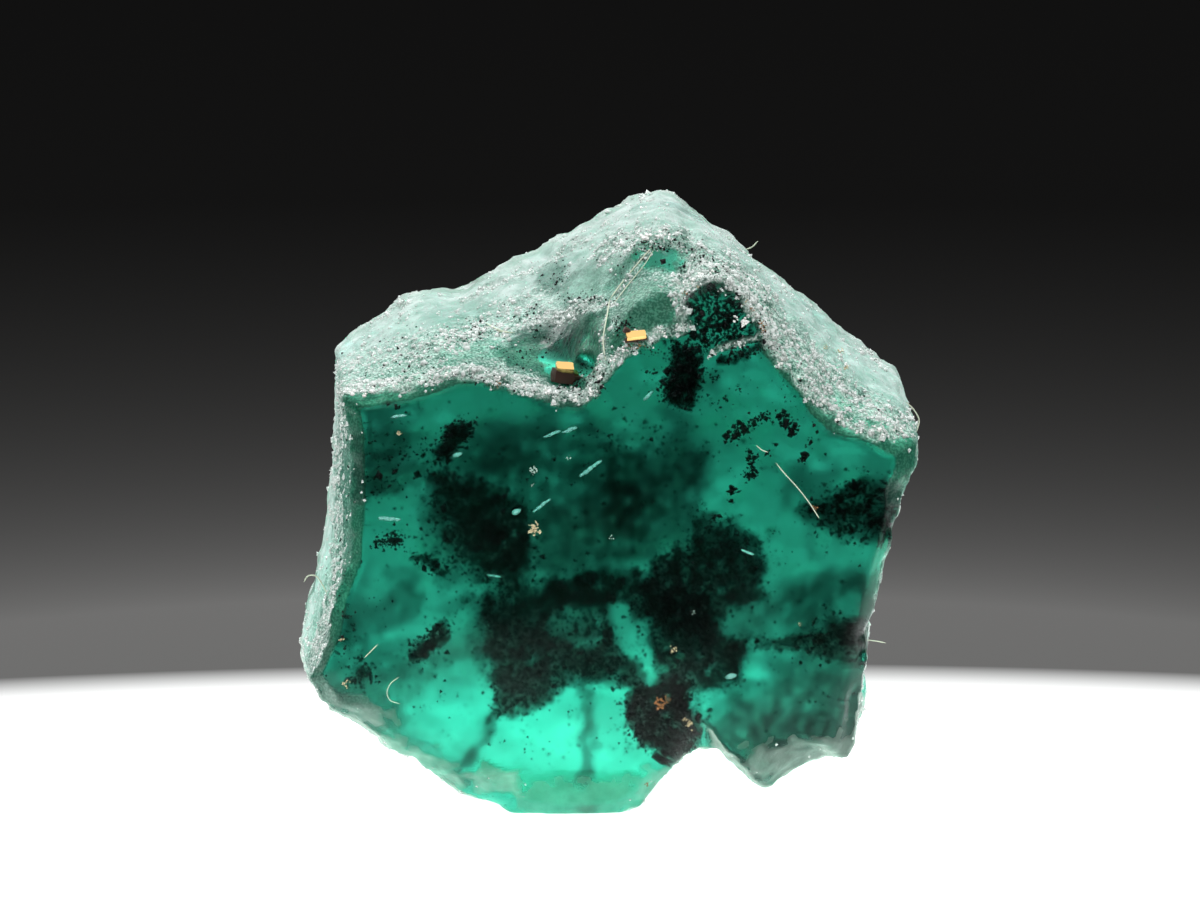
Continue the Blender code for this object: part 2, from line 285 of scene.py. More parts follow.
def side_rows(angles):
    """The rings of points from the clear face's edge to the rear end's edge."""
    front = np.array([outline_radius(FRONT_OUTLINE, angle) for angle in angles])
    rear = np.array([outline_radius(REAR_OUTLINE, angle) for angle in angles])
    rises = by_angle(RISE, angles)
    set_back = by_angle(EDGE_WEAR, angles)[:, 1]
    rows = []
    for share in np.linspace(0, 1, SIDE_ROWS + 1):
        rise = np.array([np.interp(share, RISE_STATIONS, row) for row in rises])
        radius = front + (rear - front) * rise
        y = FRONT_Y + set_back * (1 - share) + DEPTH * share
        for lump_angle, lump_share, lump_radius, height in LUMPS:
            turned = (np.degrees(angles) - lump_angle + 180) % 360 - 180
            away = np.hypot(np.radians(turned) * radius, (share - lump_share) * DEPTH)
            radius = radius + height * np.exp(-((away / lump_radius) ** 2))
        rows.append((radius, y))
    return rows


def front_rows(angles, edge):
    """The rings of the clear face, from its worn rim to near its middle."""
    wear = by_angle(EDGE_WEAR, angles)
    rows = []
    for row in range(1, END_ROWS):
        radius = edge * (1 - (row / END_ROWS) ** END_SPREAD)
        inside = np.clip((edge - radius) / wear[:, 0], 0, 1)
        rows.append((radius, FRONT_Y + wear[:, 1] * (1 - inside) ** WEAR_CURVE))
    return rows


def rear_rows(edge):
    """The rings of the rear end, which is broken nearly flat with a rounded rim."""
    rows = []
    for row in range(1, END_ROWS):
        share = 1 - (row / END_ROWS) ** END_SPREAD
        inside = np.clip((1 - share) * edge / REAR_ROUNDING_WIDTH, 0, 1)
        rows.append((edge * share, DEPTH / 2 + REAR_BULGE * (1 - (1 - inside) ** 2)))
    return rows


def crystal_mesh():
    """A loft from the clear face's middle over its edge and along the sides to the rear end's middle."""
    angles = np.linspace(-math.pi, math.pi, AROUND, endpoint=False)
    sides = side_rows(angles)
    front = front_rows(angles, sides[0][0])[::-1]
    rear = rear_rows(sides[-1][0])
    mesh = bmesh.new()
    rings = []
    for radius, y in front + sides + rear:
        ring = []
        for angle, reach, depth in zip(angles, radius, y):
            place = (reach * math.cos(angle), depth, AXIS_HEIGHT + reach * math.sin(angle))
            ring.append(mesh.verts.new(place))
        rings.append(ring)
    for first, second in zip(rings, rings[1:]):
        for index in range(AROUND):
            after = (index + 1) % AROUND
            mesh.faces.new((first[index], first[after], second[after], second[index]))
    for ring, y in ((rings[0], FRONT_Y), (rings[-1], DEPTH / 2 + REAR_BULGE)):
        middle = mesh.verts.new((0, y, AXIS_HEIGHT))
        for index in range(AROUND):
            mesh.faces.new((ring[index], ring[(index + 1) % AROUND], middle))
    bmesh.ops.recalc_face_normals(mesh, faces=mesh.faces)
    return mesh


def new_object(name, data):
    """Adds a mesh to the scene under its own name."""
    obj = bpy.data.objects.new(name, data)
    bpy.context.scene.collection.objects.link(obj)
    return obj


def mesh_object(name, mesh):
    """Turns a bmesh into an object."""
    data = bpy.data.meshes.new(name)
    mesh.to_mesh(data)
    mesh.free()
    return new_object(name, data)


def placed(mesh, centre, sizes, turn):
    """Scales, turns and places a unit shape."""
    turned = Euler([math.radians(angle) for angle in turn]).to_matrix().to_4x4()
    bmesh.ops.transform(
        mesh,
        matrix=Matrix.Translation(centre) @ turned @ Matrix.Diagonal((*sizes, 1)),
        verts=mesh.verts,
    )
    return mesh


def pit_cutter():
    """The rough rounded hollow round the pyrite."""
    mesh = bmesh.new()
    bmesh.ops.create_icosphere(mesh, subdivisions=3, radius=1)
    for vertex in mesh.verts:
        vertex.co *= 1 + PIT_ROUGHNESS * noise.noise(vertex.co / PIT_GRAIN + Vector(PIT[0]))
    return mesh_object("pit_cutter", placed(mesh, *PIT))


def step_cutter():
    """The thin step below the upper corner of the clear face."""
    mesh = bmesh.new()
    bmesh.ops.create_cube(mesh, size=1)
    return mesh_object("step_cutter", placed(mesh, *STEP_UNDER_CORNER))


def take_evaluated(obj):
    """Takes the mesh that the modifiers make as the object's own."""
    bpy.context.view_layer.update()
    graph = bpy.context.evaluated_depsgraph_get()
    made = bpy.data.meshes.new_from_object(obj.evaluated_get(graph))
    before = obj.data
    obj.modifiers.clear()
    obj.data = made
    bpy.data.meshes.remove(before)


def relief(place, normal):
    """The solid's own relief: how far the surface stands in or out at one point of the smooth form."""
    low = noise.noise(place / SIDE_GRAIN)
    fine = noise.noise(place / CRUST_GRAIN + CRUST_OFFSET)
    side = SIDE_RELIEF * low + CRUST_RELIEF * fine
    front_share = max(0.0, min(1.0, (-normal.y - END_FACING) / END_SOFTNESS))
    rear_share = max(0.0, min(1.0, (normal.y - END_FACING) / END_SOFTNESS))
    front = FRONT_RELIEF * noise.noise(place / FRONT_GRAIN)
    broken = noise.noise(place / REAR_GRAIN + REAR_OFFSET)
    rear = REAR_RELIEF * (broken - REAR_STEPS * abs(low)) + CRUST_RELIEF * fine
    return side * (1 - front_share - rear_share) + front * front_share + rear * rear_share


def fine_relief(place, frost, crust):
    """The etched grain of the frosted surfaces."""
    grain = noise.noise(place / 0.075)
    pits = noise.noise(place / 0.12 + REAR_OFFSET)
    return frost * (0.010 + 0.030 * crust) * grain - frost * 0.016 * max(0.0, pits - 0.1)


def smooth_step(value, low, high):
    """0 below low, 1 above high, smooth between."""
    share = np.clip((value - low) / (high - low), 0, 1)
    return share * share * (3 - 2 * share)


# White granular crust along lines of the photo: strength, half width in pixels, line
CRUST_LINES = (
    (1.0, 8, ((338, 390), (400, 385), (450, 372), (490, 376), (540, 390), (570, 399), (590, 391), (606, 366),
              (640, 340), (662, 332))),
    (0.9, 8, ((440, 346), (480, 332), (520, 324), (560, 316), (600, 302))),
    (0.8, 3, ((605, 366), (603, 322), (611, 300), (630, 272), (652, 250))),
    (0.9, 6, ((682, 284), (678, 300), (686, 326), (672, 334))),
    (1.0, 7, ((676, 278), (700, 270), (722, 274), (742, 294), (764, 326), (776, 352), (800, 384), (850, 424),
              (880, 436), (906, 430))),
    (0.8, 14, ((700, 262), (740, 280), (780, 330), (820, 372), (870, 408), (900, 424))),
    (0.7, 13, ((604, 252), (640, 236), (680, 240), (700, 262))),
    (0.6, 5, ((340, 398), (337, 480), (339, 560), (334, 590), (322, 620), (316, 650))),
    (0.5, 18, ((350, 362), (400, 352), (450, 342), (500, 318), (540, 300))),
    (0.9, 3, ((712, 354), (720, 347), (738, 343), (756, 338), (764, 332))),
    (1.0, 5, ((676, 292), (690, 286), (706, 280), (716, 274))),
)

# Patches of the skin: corner pixels, softness in pixels, and how glassy, how frosted and how dark they are
# The darkness is partly the skin's own deeper green and partly painted shade: under the lips, in the scoop, on the
# block and the left border.
PATCHES = (
    ("scoop", ((508, 354), (522, 338), (548, 325), (580, 317), (604, 322), (603, 360), (590, 376), (572, 384),
               (556, 384), (545, 372), (522, 362)), 5, 0.5, 0.0, 1.0),
    ("scoop's right", ((564, 324), (604, 318), (604, 364), (590, 374), (574, 356), (562, 340)), 5, 0.5, 0.0, 1.0),
    ("above the scoop", ((560, 286), (580, 270), (612, 262), (626, 268), (610, 296), (590, 300), (566, 298)),
     5, 0.45, 0.0, 0.5),
    ("green by the ridge", ((622, 292), (640, 282), (664, 288), (668, 322), (640, 326), (624, 320)),
     6, 0.35, 0.0, 0.55),
    ("behind the crest", ((516, 256), (566, 240), (572, 262), (530, 282)), 8, 0.3, 0.0, 0.2),
    ("above the left lip", ((440, 352), (500, 338), (508, 352), (470, 362), (444, 362)), 6, 0.3, 0.0, 0.25),
    ("left green", ((430, 314), (476, 300), (484, 316), (440, 330)), 8, 0.25, 0.0, 0.35),
    ("right lip green", ((806, 392), (850, 398), (862, 410), (820, 408)), 6, 0.35, 0.0, 0.2),
    ("right side", ((846, 516), (916, 500), (912, 560), (896, 640), (884, 690), (842, 700)), 6, 0.95, 0.0, 0.0),
    ("upper right corner", ((872, 442), (906, 432), (918, 450), (912, 480), (896, 500), (868, 486)),
     12, 0.0, 0.42, 0.7),
    ("block", ((686, 290), (722, 279), (738, 294), (761, 327), (752, 336), (714, 345), (698, 352), (684, 326)),
     3, 0.97, 0.0, 0.9),
    ("left border", ((342, 470), (342, 400), (368, 396), (370, 500), (362, 600), (340, 640), (330, 640), (338, 596)),
     4, 0.0, 0.5, 1.0),
    ("under the left lip", ((356, 406), (360, 399), (400, 392), (450, 380), (494, 384), (500, 398), (450, 394),
                            (400, 406)), 2, 0.0, 0.5, 1.0),
    ("under the right lip", ((760, 344), (800, 388), (846, 430), (876, 444), (866, 456), (836, 440), (786, 396),
                             (750, 352)), 2, 0.0, 0.5, 1.0),
    ("right border", ((846, 500), (872, 494), (868, 560), (856, 640), (856, 720), (842, 722), (838, 640)),
     4, 0.95, 0.0, 0.0),
    ("dark spot", ((544, 268), (558, 264), (560, 280), (550, 286), (542, 280)), 5, 0.4, 0.0, 0.9),
    ("low left", ((306, 672), (340, 664), (376, 690), (392, 720), (350, 720), (312, 696)), 16, 0.0, 0.46, 0.0),
    ("foot", ((516, 778), (642, 778), (664, 800), (600, 822), (516, 816)), 9, 0.0, 0.26, 0.0),
    ("low left rim", ((360, 724), (420, 748), (470, 776), (450, 790), (380, 756)), 10, 0.0, 0.46, 0.0),
    ("low rim", ((462, 776), (480, 766), (518, 770), (522, 794), (480, 790)), 9, 0.0, 0.5, 0.0),
    ("low right of the fan", ((632, 794), (640, 774), (668, 762), (676, 776), (650, 804)), 9, 0.0, 0.4, 0.0),
    ("low right rim", ((742, 750), (790, 742), (862, 732), (864, 760), (790, 786), (748, 776)), 11, 0.0, 0.45, 0.0),
)

# How much clearer the broken rear end is than the etched prism faces
REAR_CLEARNESS = 0.9


def line_distance(x, y, line):
    """The distance of each pixel to a line with corners."""
    nearest = np.full(len(x), 1e9)
    for (x0, y0), (x1, y1) in zip(line, line[1:]):
        run_x, run_y = x1 - x0, y1 - y0
        along = np.clip(((x - x0) * run_x + (y - y0) * run_y) / (run_x ** 2 + run_y ** 2), 0, 1)
        nearest = np.minimum(nearest, np.hypot(x - x0 - along * run_x, y - y0 - along * run_y))
    return nearest


def skin(places, normals):
    """How frosted, milky, crusty and dark each point of the surface is; the darkness is partly the skin's own deeper
    green and partly painted shade.
    """
    eye, right, up, ahead = [np.array(axis) for axis in camera_axes()]
    seen = smooth_step(-(normals @ ahead), -0.1, 0.15) * smooth_step(-places[:, 1], -1.2, -0.6)
    x, y = photo_pixels(places)
    wobble = np.array([noise.noise(Vector(place) / 0.10) for place in places])
    broad = np.array([noise.fractal(Vector(place) / 0.6, 0.7, 2.1, 3) for place in places])
    frost = 1 - smooth_step(-normals[:, 1] + 0.12 * wobble, 0.42, 0.66)
    crust = np.zeros(len(places))
    for strength, width, line in CRUST_LINES:
        away = line_distance(x, y, line) + wobble * width * 0.7
        crust = np.maximum(crust, strength * seen * (1 - smooth_step(away, width * 0.5, width * 1.3)))
    slanting = 1 - smooth_step(-normals[:, 1], 0.82, 0.94)
    slanting = np.maximum(slanting, 1 - smooth_step(places[:, 2], 0.9, 1.3))
    glassy, frosted, dark = np.zeros((3, len(places)))
    for name, corners, softness, clear, milk, darkness in PATCHES:
        away = line_distance(x, y, (*corners, corners[0]))
        depth_in = np.where(inside_polygon(np.stack([x, y], axis=1), corners), away, -away)
        ragged = depth_in + 1.5 * softness * wobble
        share = seen * smooth_step(ragged, -softness, softness)
        wide_share = seen * smooth_step(ragged, -2.2 * softness, -0.8 * softness)
        glassy = np.maximum(glassy, clear * share)
        frosted = np.maximum(frosted, milk * share * slanting)
        dark = np.maximum(dark, darkness * wide_share)
    unseen = (1 - seen) * frost
    crust = np.maximum(crust, unseen * 0.9 * smooth_step(broad + 0.5 * wobble, 0.25, 0.6))
    glassy = np.maximum(glassy, unseen * 0.8 * smooth_step(-broad + 0.3 * wobble, 0.15, 0.5))
    frost = np.maximum(frost, frosted)
    frost = np.maximum(frost * (1 - 0.9 * glassy), crust)
    # Painted shade: the worn border of the clear face, where it slants up near the top and the front, is darkened; the
    # patches' darkness joins it.
    facing = -normals[:, 1]
    shade = seen * smooth_step(facing, 0.35, 0.55) * (1 - smooth_step(facing, 0.84, 0.94)) * (1 - crust)
    shade *= smooth_step(places[:, 2], 0.9, 1.6) * smooth_step(-places[:, 1], 1.2, 1.35) * (1 - glassy)
    frost = np.maximum(frost, 0.5 * shade)
    shade = np.maximum(shade, dark)
    milky = frost * (1 - REAR_CLEARNESS * smooth_step(normals[:, 1], 0.5, 0.85))
    return frost, milky, crust, shade


def store(mesh, name, values):
    """Keeps one number at every vertex."""
    layer = mesh.attributes.new(name, "FLOAT", "POINT")
    layer.data.foreach_set("value", np.array(values, np.float32))


def crystal_body():
    """The whole stone as one fine closed mesh, with how frosted it is at every point."""
    obj = mesh_object("emerald_body", crystal_mesh())
    for cutter in (pit_cutter(), step_cutter()):
        cut = obj.modifiers.new("cut", "BOOLEAN")
        cut.operation = "DIFFERENCE"
        cut.object = cutter
        cutter.hide_render = True
    remesh = obj.modifiers.new("even mesh", "REMESH")
    remesh.mode = "VOXEL"
    remesh.voxel_size = VOXEL
    take_evaluated(obj)
    for name in ("pit_cutter", "step_cutter"):
        bpy.data.objects.remove(bpy.data.objects[name])
    mesh = obj.data
    places = [vertex.co.copy() for vertex in mesh.vertices]
    normals = [vertex.normal.copy() for vertex in mesh.vertices]
    frost, milky, crust, shade = skin(np.array(places), np.array(normals))
    for vertex, place, normal, frosted, crusty in zip(mesh.vertices, places, normals, frost, crust):
        vertex.co = place + normal * (relief(place, normal) + fine_relief(place, frosted, crusty))
        if place.z < BASE_REACH:
            vertex.co.z -= BASE_DROP * (1 - place.z / BASE_REACH)
        vertex.co.z = max(0.0, vertex.co.z)
    store(mesh, "frost", frost)
    store(mesh, "milky", milky)
    store(mesh, "crust", crust)
    store(mesh, "shade", shade)
    for polygon in mesh.polygons:
        polygon.use_smooth = True
    return obj


# The carbon inside

# Where the dark clouds show: corner pixels, how many layers of flakes deep, nearest and farthest depth behind
# the face, softness of the edge in pixels, flake size
CLOUDS = (
    ("upper left patch", ((448, 422), (474, 421), (473, 433), (458, 450), (445, 460), (437, 450)),
     3.0, 0.15, 0.5, 3, 0.030),
    ("left haze", ((345, 440), (400, 428), (440, 445), (440, 480), (400, 492), (352, 495)),
     0.8, 0.08, 0.8, 6, 0.024),
    ("big left", ((432, 476), (470, 478), (522, 505), (530, 545), (522, 590), (480, 580), (458, 560), (438, 515)),
     2.3, 0.3, 1.7, 5, 0.030),
    ("big left core", ((462, 492), (505, 505), (520, 540), (512, 572), (480, 560), (462, 530)),
     1.2, 0.5, 1.7, 6, 0.030),
    ("left of the big left", ((418, 500), (440, 480), (450, 560), (470, 580), (440, 585), (424, 548)),
     0.7, 0.25, 1.7, 5, 0.030),
    ("upper middle", ((470, 428), (520, 434), (600, 428), (604, 500), (560, 480), (520, 500), (478, 480)),
     1.35, 0.5, 1.8, 7, 0.030),
    ("upper middle left", ((440, 455), (470, 440), (500, 470), (480, 490), (436, 478)),
     1.0, 0.45, 1.8, 6, 0.030),
    ("middle", ((525, 500), (600, 470), (640, 470), (640, 560), (600, 600), (530, 600)),
     1.5, 0.46, 1.9, 8, 0.030),
    ("middle upper right", ((606, 452), (660, 458), (706, 462), (700, 490), (665, 500), (635, 520), (608, 530)),
     2.0, 0.5, 1.6, 7, 0.030),
    ("pale haze", ((625, 520), (660, 500), (700, 496), (700, 540), (650, 560), (628, 548)),
     1.1, 0.6, 1.6, 6, 0.030),
    ("right of the middle", ((700, 514), (730, 524), (762, 548), (762, 596), (722, 606), (716, 640), (690, 640),
                             (655, 620), (640, 585), (655, 560), (690, 545)),
     2.6, 0.3, 1.6, 4.5, 0.034),
    ("below the middle", ((482, 600), (520, 584), (600, 575), (655, 578), (700, 600), (716, 636), (744, 642),
                          (742, 684), (700, 688), (650, 694), (606, 682), (572, 680), (545, 704), (510, 716),
                          (492, 718), (494, 690), (490, 650)),
     2.5, 0.3, 1.7, 4, 0.034),
    ("below the middle left", ((462, 600), (490, 592), (500, 660), (478, 670), (470, 630)),
     0.7, 0.3, 1.7, 5, 0.034),
    ("low right of the middle", ((628, 692), (680, 682), (702, 702), (692, 752), (664, 760), (640, 742), (624, 712)),
     3.2, 0.2, 1.2, 4, 0.040),
    ("right band", ((806, 640), (830, 616), (862, 620), (864, 664), (838, 658), (806, 652)),
     1.7, 0.2, 1.0, 5, 0.036),
    ("right band left end", ((716, 636), (780, 640), (812, 634), (812, 652), (780, 650), (744, 650)),
     1.6, 0.3, 1.0, 3, 0.032),
    ("right corner", ((800, 512), (830, 496), (860, 480), (890, 482), (886, 520), (880, 536), (850, 536), (820, 526)),
     2.2, 0.2, 1.0, 5, 0.036),
    ("below the block", ((672, 342), (702, 350), (700, 380), (694, 402), (680, 407), (664, 400), (662, 386), (668, 370)),
     3.6, 0.12, 0.6, 3, 0.034),
    ("in the block", ((684, 296), (722, 280), (752, 320), (758, 335), (716, 348), (700, 354), (686, 334)),
     1.7, 0.1, 0.5, 4, 0.0234),
    # The undercut's carbon stands in for the shade under the block's ledge: painted shade.
    ("undercut", ((714, 366), (716, 358), (740, 350), (762, 338), (760, 352), (736, 362)),
     2.6, 0.06, 0.3, 2, 0.026),
    ("low left blob", ((409, 662), (412, 644), (430, 632), (442, 620), (450, 624), (448, 636), (436, 648), (424, 662)),
     2.6, 0.2, 0.8, 3, 0.034),
    ("low left rim", ((346, 680), (356, 662), (368, 660), (372, 672), (366, 684), (350, 688)),
     2.4, 0.25, 0.6, 3, 0.032),
    ("left wedge", ((384, 568), (418, 572), (430, 600), (420, 618), (404, 620), (392, 598)),
     0.9, 1.2, 2.4, 4, 0.030),
    ("right haze", ((786, 584), (862, 574), (866, 600), (862, 640), (800, 636), (776, 604)),
     1.6, 0.5, 1.6, 7, 0.030),
    ("low right haze", ((700, 688), (742, 690), (780, 720), (850, 716), (850, 736), (800, 746), (740, 752),
                        (700, 742)),
     1.0, 0.5, 1.2, 8, 0.030),
    ("behind the dark", ((716, 600), (770, 596), (770, 644), (716, 644)),
     0.9, 0.9, 1.6, 7, 0.030),
    ("low left shade", ((330, 625), (360, 640), (410, 655), (480, 640), (440, 664), (404, 690), (392, 740), (330, 700)),
     1.3, 0.9, 2.0, 9, 0.030),
    ("fan left shade", ((400, 655), (500, 650), (494, 720), (460, 775), (400, 745)),
     0.15, 0.9, 2.0, 9, 0.030),
    ("left edge", ((330, 596), (346, 590), (352, 640), (334, 650)), 0.9, 0.3, 0.8, 5, 0.030),
    ("left dark", ((345, 500), (345, 470), (372, 466), (400, 480), (372, 500)), 0.8, 0.1, 0.6, 5, 0.024),
    ("upper right haze", ((604, 430), (700, 438), (706, 458), (604, 452)), 0.7, 0.3, 1.4, 8, 0.036),
    ("low right deep haze", ((742, 650), (864, 650), (866, 700), (850, 740), (760, 755), (738, 745)),
     1.6, 0.8, 1.8, 10, 0.030),
    ("spoke low left", ((494, 712), (502, 722), (466, 778), (448, 776), (474, 744)), 1.6, 0.6, 1.8, 3, 0.036),
    ("spoke low", ((582, 680), (598, 680), (590, 800), (578, 800)), 1.3, 0.8, 2.2, 3.5, 0.036),
    ("diagonal patch", ((402, 548), (412, 552), (426, 556), (440, 566), (438, 575), (420, 568), (408, 560)),
     2.6, 0.1, 0.3, 2, 0.026),
    ("left cluster", ((386, 534), (398, 530), (404, 540), (396, 547), (378, 549), (374, 543)),
     2.2, 0.1, 0.3, 2, 0.022),
    ("chain 1", ((724, 434), (736, 426), (748, 422), (750, 430), (736, 440), (726, 440)), 1.9, 0.06, 0.2, 2, 0.022),
    ("chain 2", ((748, 422), (756, 416), (766, 412), (770, 416), (760, 422), (752, 426)), 2.0, 0.06, 0.2, 2, 0.022),
    ("chain 3", ((775, 414), (786, 408), (792, 418), (798, 432), (792, 438), (786, 428), (780, 420)),
     1.9, 0.06, 0.2, 2, 0.022),
    ("chain 4", ((748, 450), (757, 452), (754, 464), (757, 476), (748, 480), (742, 477), (750, 470), (746, 460)),
     2.4, 0.06, 0.2, 1.5, 0.022),
    ("chain 5", ((733, 482), (738, 486), (736, 494), (727, 494), (731, 489)), 2.2, 0.06, 0.2, 1.5, 0.020),
    ("chain 6", ((725, 500), (732, 502), (729, 505)), 2.2, 0.06, 0.2, 1.5, 0.020),
    ("chain 7", ((712, 514), (719, 516), (716, 523), (712, 523)), 1.6, 0.06, 0.2, 1.5, 0.020),
    ("speck 1", ((799, 458), (804, 452), (807, 456), (804, 462), (799, 462)), 2.6, 0.06, 0.2, 1, 0.022),
    ("speck 2", ((804, 452), (806, 444), (811, 441), (810, 447)), 2.0, 0.06, 0.2, 1, 0.018),
    ("speck 3", ((809, 440), (817, 431), (818, 433), (811, 442)), 1.0, 0.06, 0.2, 1, 0.016),
    ("speck 4", ((764, 451), (771, 449), (770, 457), (766, 457)), 2.0, 0.06, 0.2, 1, 0.020),
    ("speck 5", ((774, 441), (779, 442), (778, 447), (774, 446)), 1.8, 0.06, 0.2, 1, 0.018),
    ("speck 6", ((832, 434), (836, 422), (841, 423), (838, 434)), 1.2, 0.1, 0.3, 2, 0.020),
    ("speck 7", ((768, 530), (780, 528), (776, 538), (770, 538)), 1.4, 0.2, 0.5, 2, 0.024),
    ("speck 8", ((649, 370), (656, 370), (656, 376), (650, 376)), 1.6, 0.1, 0.3, 1.5, 0.020),
    ("speck 9", ((733, 385), (740, 387), (739, 391), (734, 390)), 1.8, 0.06, 0.2, 1.5, 0.018),
    ("speck 10", ((721, 394), (726, 396), (730, 402), (726, 402)), 2.0, 0.06, 0.2, 1, 0.018),
    ("speck 11", ((706, 378), (716, 375), (720, 379), (710, 384)), 1.7, 0.1, 0.3, 2, 0.022),
    ("speck 12", ((709, 405), (722, 403), (720, 410), (712, 409)), 1.0, 0.06, 0.3, 2, 0.018),
    ("behind the scoop", ((515, 330), (600, 318), (604, 372), (560, 385), (520, 372)),
     0.9, 0.7, 1.6, 6, 0.029),
    ("behind the scoop's right", ((562, 322), (604, 316), (606, 376), (566, 384)),
     1.6, 0.46, 1.2, 5, 0.029),
    ("streaks", ((392, 404), (414, 394), (412, 398), (396, 407)), 0.9, 0.1, 0.4, 2, 0.022),
)

# How much carbon there is
MORE_FLAKES = 0.8
FLAKE_SCALE = 0.75
CLOUD_FLAKES = ((0.0, 0.22), (0.25, 0.07), (0.45, 0.015))
HAZE_LAYERS = 0.16
HAZE_FARTHEST = 0.45
HAZE_SIZE = 0.0115
HAZE_SOFTNESS = 1.6
HAZE_FROM_SIZE = 0.0285
BASE_SPECKS = 14000
BASE_SPECK_SIZE = 0.0075

# The finest carbon, too small to see its grains: bodies of smoke that are as thick as the cloud is dark
SMOKE_STEP = 4
SMOKE_FROM_SIZE = 0.0235
SMOKE_PER_LAYER = 0.17
SMOKE_DENSITY = 6000
SMOKE_SHEETS = (
    ("carbon_smoke_near", 0.0, 0.25, 0.16),
    ("carbon_smoke_middle", 0.25, 0.45, 0.62),
    ("carbon_smoke_deep", 0.45, 9.0, 1.30),
)
SMOKE_EDGE = (1.4, 0.22)
SMOKE_MOTTLE = 0.9
SMOKE_THINNEST = 0.012

# The crust's grains
GRAINS = 24000
GRAIN_SIZE = 0.0125
GRAIN_SPREAD = 0.68
GRAIN_CLUSTER = 0.09

# Clear windows among the clouds: corner pixels and how clear
WINDOWS = (
    ("wedge", ((608, 602), (618, 600), (632, 614), (648, 628), (654, 650), (652, 668), (658, 684), (646, 686),
               (632, 662), (620, 648), (608, 624)), 0.88),
    ("wedge foot", ((640, 650), (652, 650), (658, 684), (644, 684)), 0.7),
    ("half clear left", ((520, 570), (546, 568), (552, 590), (530, 600), (518, 592)), 0.45),
    ("half clear middle", ((550, 610), (600, 602), (606, 640), (590, 650), (552, 634)), 0.5),
    ("small blob", ((690, 700), (704, 694), (708, 706), (700, 718), (690, 714)), 0.7),
    ("right of the wedge", ((655, 580), (672, 578), (660, 610), (652, 600)), 0.45),
    ("right window", ((832, 592), (858, 590), (862, 612), (836, 618)), 0.6),
    ("right streak", ((745, 644), (766, 640), (772, 700), (760, 730), (748, 700)), 0.45),
)


def inside_polygon(points, corners):
    """Whether each point lies in a polygon."""
    inside = np.zeros(len(points), bool)
    corners = np.array(corners, float)
    for (x0, y0), (x1, y1) in zip(corners, np.roll(corners, -1, axis=0)):
        crosses = (points[:, 1] < y0) != (points[:, 1] < y1)
        at = x0 + (points[:, 1] - y0) * (x1 - x0) / (y1 - y0 if y1 != y0 else 1)
        inside ^= crosses & (points[:, 0] < at)
    return inside


def polygon_area(corners):
    """The area of a polygon in square pixels."""
    x, y = np.array(corners, float).T
    return abs(np.dot(x, np.roll(y, -1)) - np.dot(y, np.roll(x, -1))) / 2


def clumps(points, grain):
    """A cloudy value from about -1 to 1 at each pixel."""
    found = [
        noise.fractal(Vector((x / grain, y / grain, grain)), 0.6, 2.2, 3)
        for x, y in points
    ]
    return np.array(found)


def cloud_points(corners, layers, near, far, softness, size, clumped=True):
    """Pixels, depths and sizes of one cloud's flakes."""
    mean_area = (1.1 * size / PIXEL) ** 2
    wanted = int(layers * polygon_area(corners) / mean_area)
    low, high = np.min(corners, axis=0), np.max(corners, axis=0)
    share = polygon_area(corners) / max(1.0, np.prod(high - low))
    points = random.uniform(low, high, (int(wanted / share * 1.6) + 20, 2))
    points = points[inside_polygon(points, corners)]
    if clumped:
        points = points[clumps(points, 14.0) > random.uniform(-0.9, 0.25, len(points))]
    points = points[:wanted]
    points = points + random.normal(0, softness, points.shape)
    depth = near + (far - near) * random.beta(1.2, 2.0, len(points))
    sizes = size * random.lognormal(0, 0.45, len(points))
    return points, depth, sizes


def in_windows(points):
    """Which flakes fall in a clear window."""
    dropped = np.zeros(len(points), bool)
    for name, corners, clear in WINDOWS:
        within = inside_polygon(points, corners)
        dropped |= within & (random.uniform(0, 1, len(points)) < clear)
    return dropped


def speck_mesh(name, places, sizes):
    """The finest specks as one mesh, four-sided."""
    count = len(places)
    arms = np.array([(1, 1, 1), (1, -1, -1), (-1, 1, -1), (-1, -1, 1)], float)
    shape = arms[None] * random.uniform(0.4, 0.9, (count, 4, 1)) * sizes[:, None, None]
    corners = np.einsum("nij,nkj->nki", random_turns(count), shape) + places[:, None]
    faces = np.array([(0, 1, 2), (0, 2, 3), (0, 3, 1), (1, 3, 2)])
    every = (faces[None] + 4 * np.arange(count)[:, None, None]).reshape(-1, 3)
    return triangle_mesh(name, corners.reshape(-1, 3), every)


def flake_mesh(name, places, sizes, flatness=0.55):
    """Small irregular eight-sided flakes as one mesh."""
    count = len(places)
    arms = np.array([(1, 0, 0), (-1, 0, 0), (0, 1, 0), (0, -1, 0), (0, 0, 1), (0, 0, -1)], float)
    reach = random.uniform(0.55, 1.35, (count, 6, 1)) * sizes[:, None, None] * 0.7
    shape = arms[None] * reach
    shape[:, 4:] *= flatness
    turns = random_turns(count)
    corners = np.einsum("nij,nkj->nki", turns, shape) + places[:, None]
    faces = np.array([
        (0, 2, 4), (2, 1, 4), (1, 3, 4), (3, 0, 4), (2, 0, 5), (1, 2, 5), (3, 1, 5), (0, 3, 5),
    ])
    every = (faces[None] + 6 * np.arange(count)[:, None, None]).reshape(-1, 3)
    return triangle_mesh(name, corners.reshape(-1, 3), every)


def random_turns(count):
    """Random rotation matrices."""
    quaternions = random.normal(size=(count, 4))
    quaternions /= np.linalg.norm(quaternions, axis=1)[:, None]
    w, x, y, z = quaternions.T
    return np.stack([
        np.stack([1 - 2 * (y * y + z * z), 2 * (x * y - z * w), 2 * (x * z + y * w)], axis=1),
        np.stack([2 * (x * y + z * w), 1 - 2 * (x * x + z * z), 2 * (y * z - x * w)], axis=1),
        np.stack([2 * (x * z - y * w), 2 * (y * z + x * w), 1 - 2 * (x * x + y * y)], axis=1),
    ], axis=1)


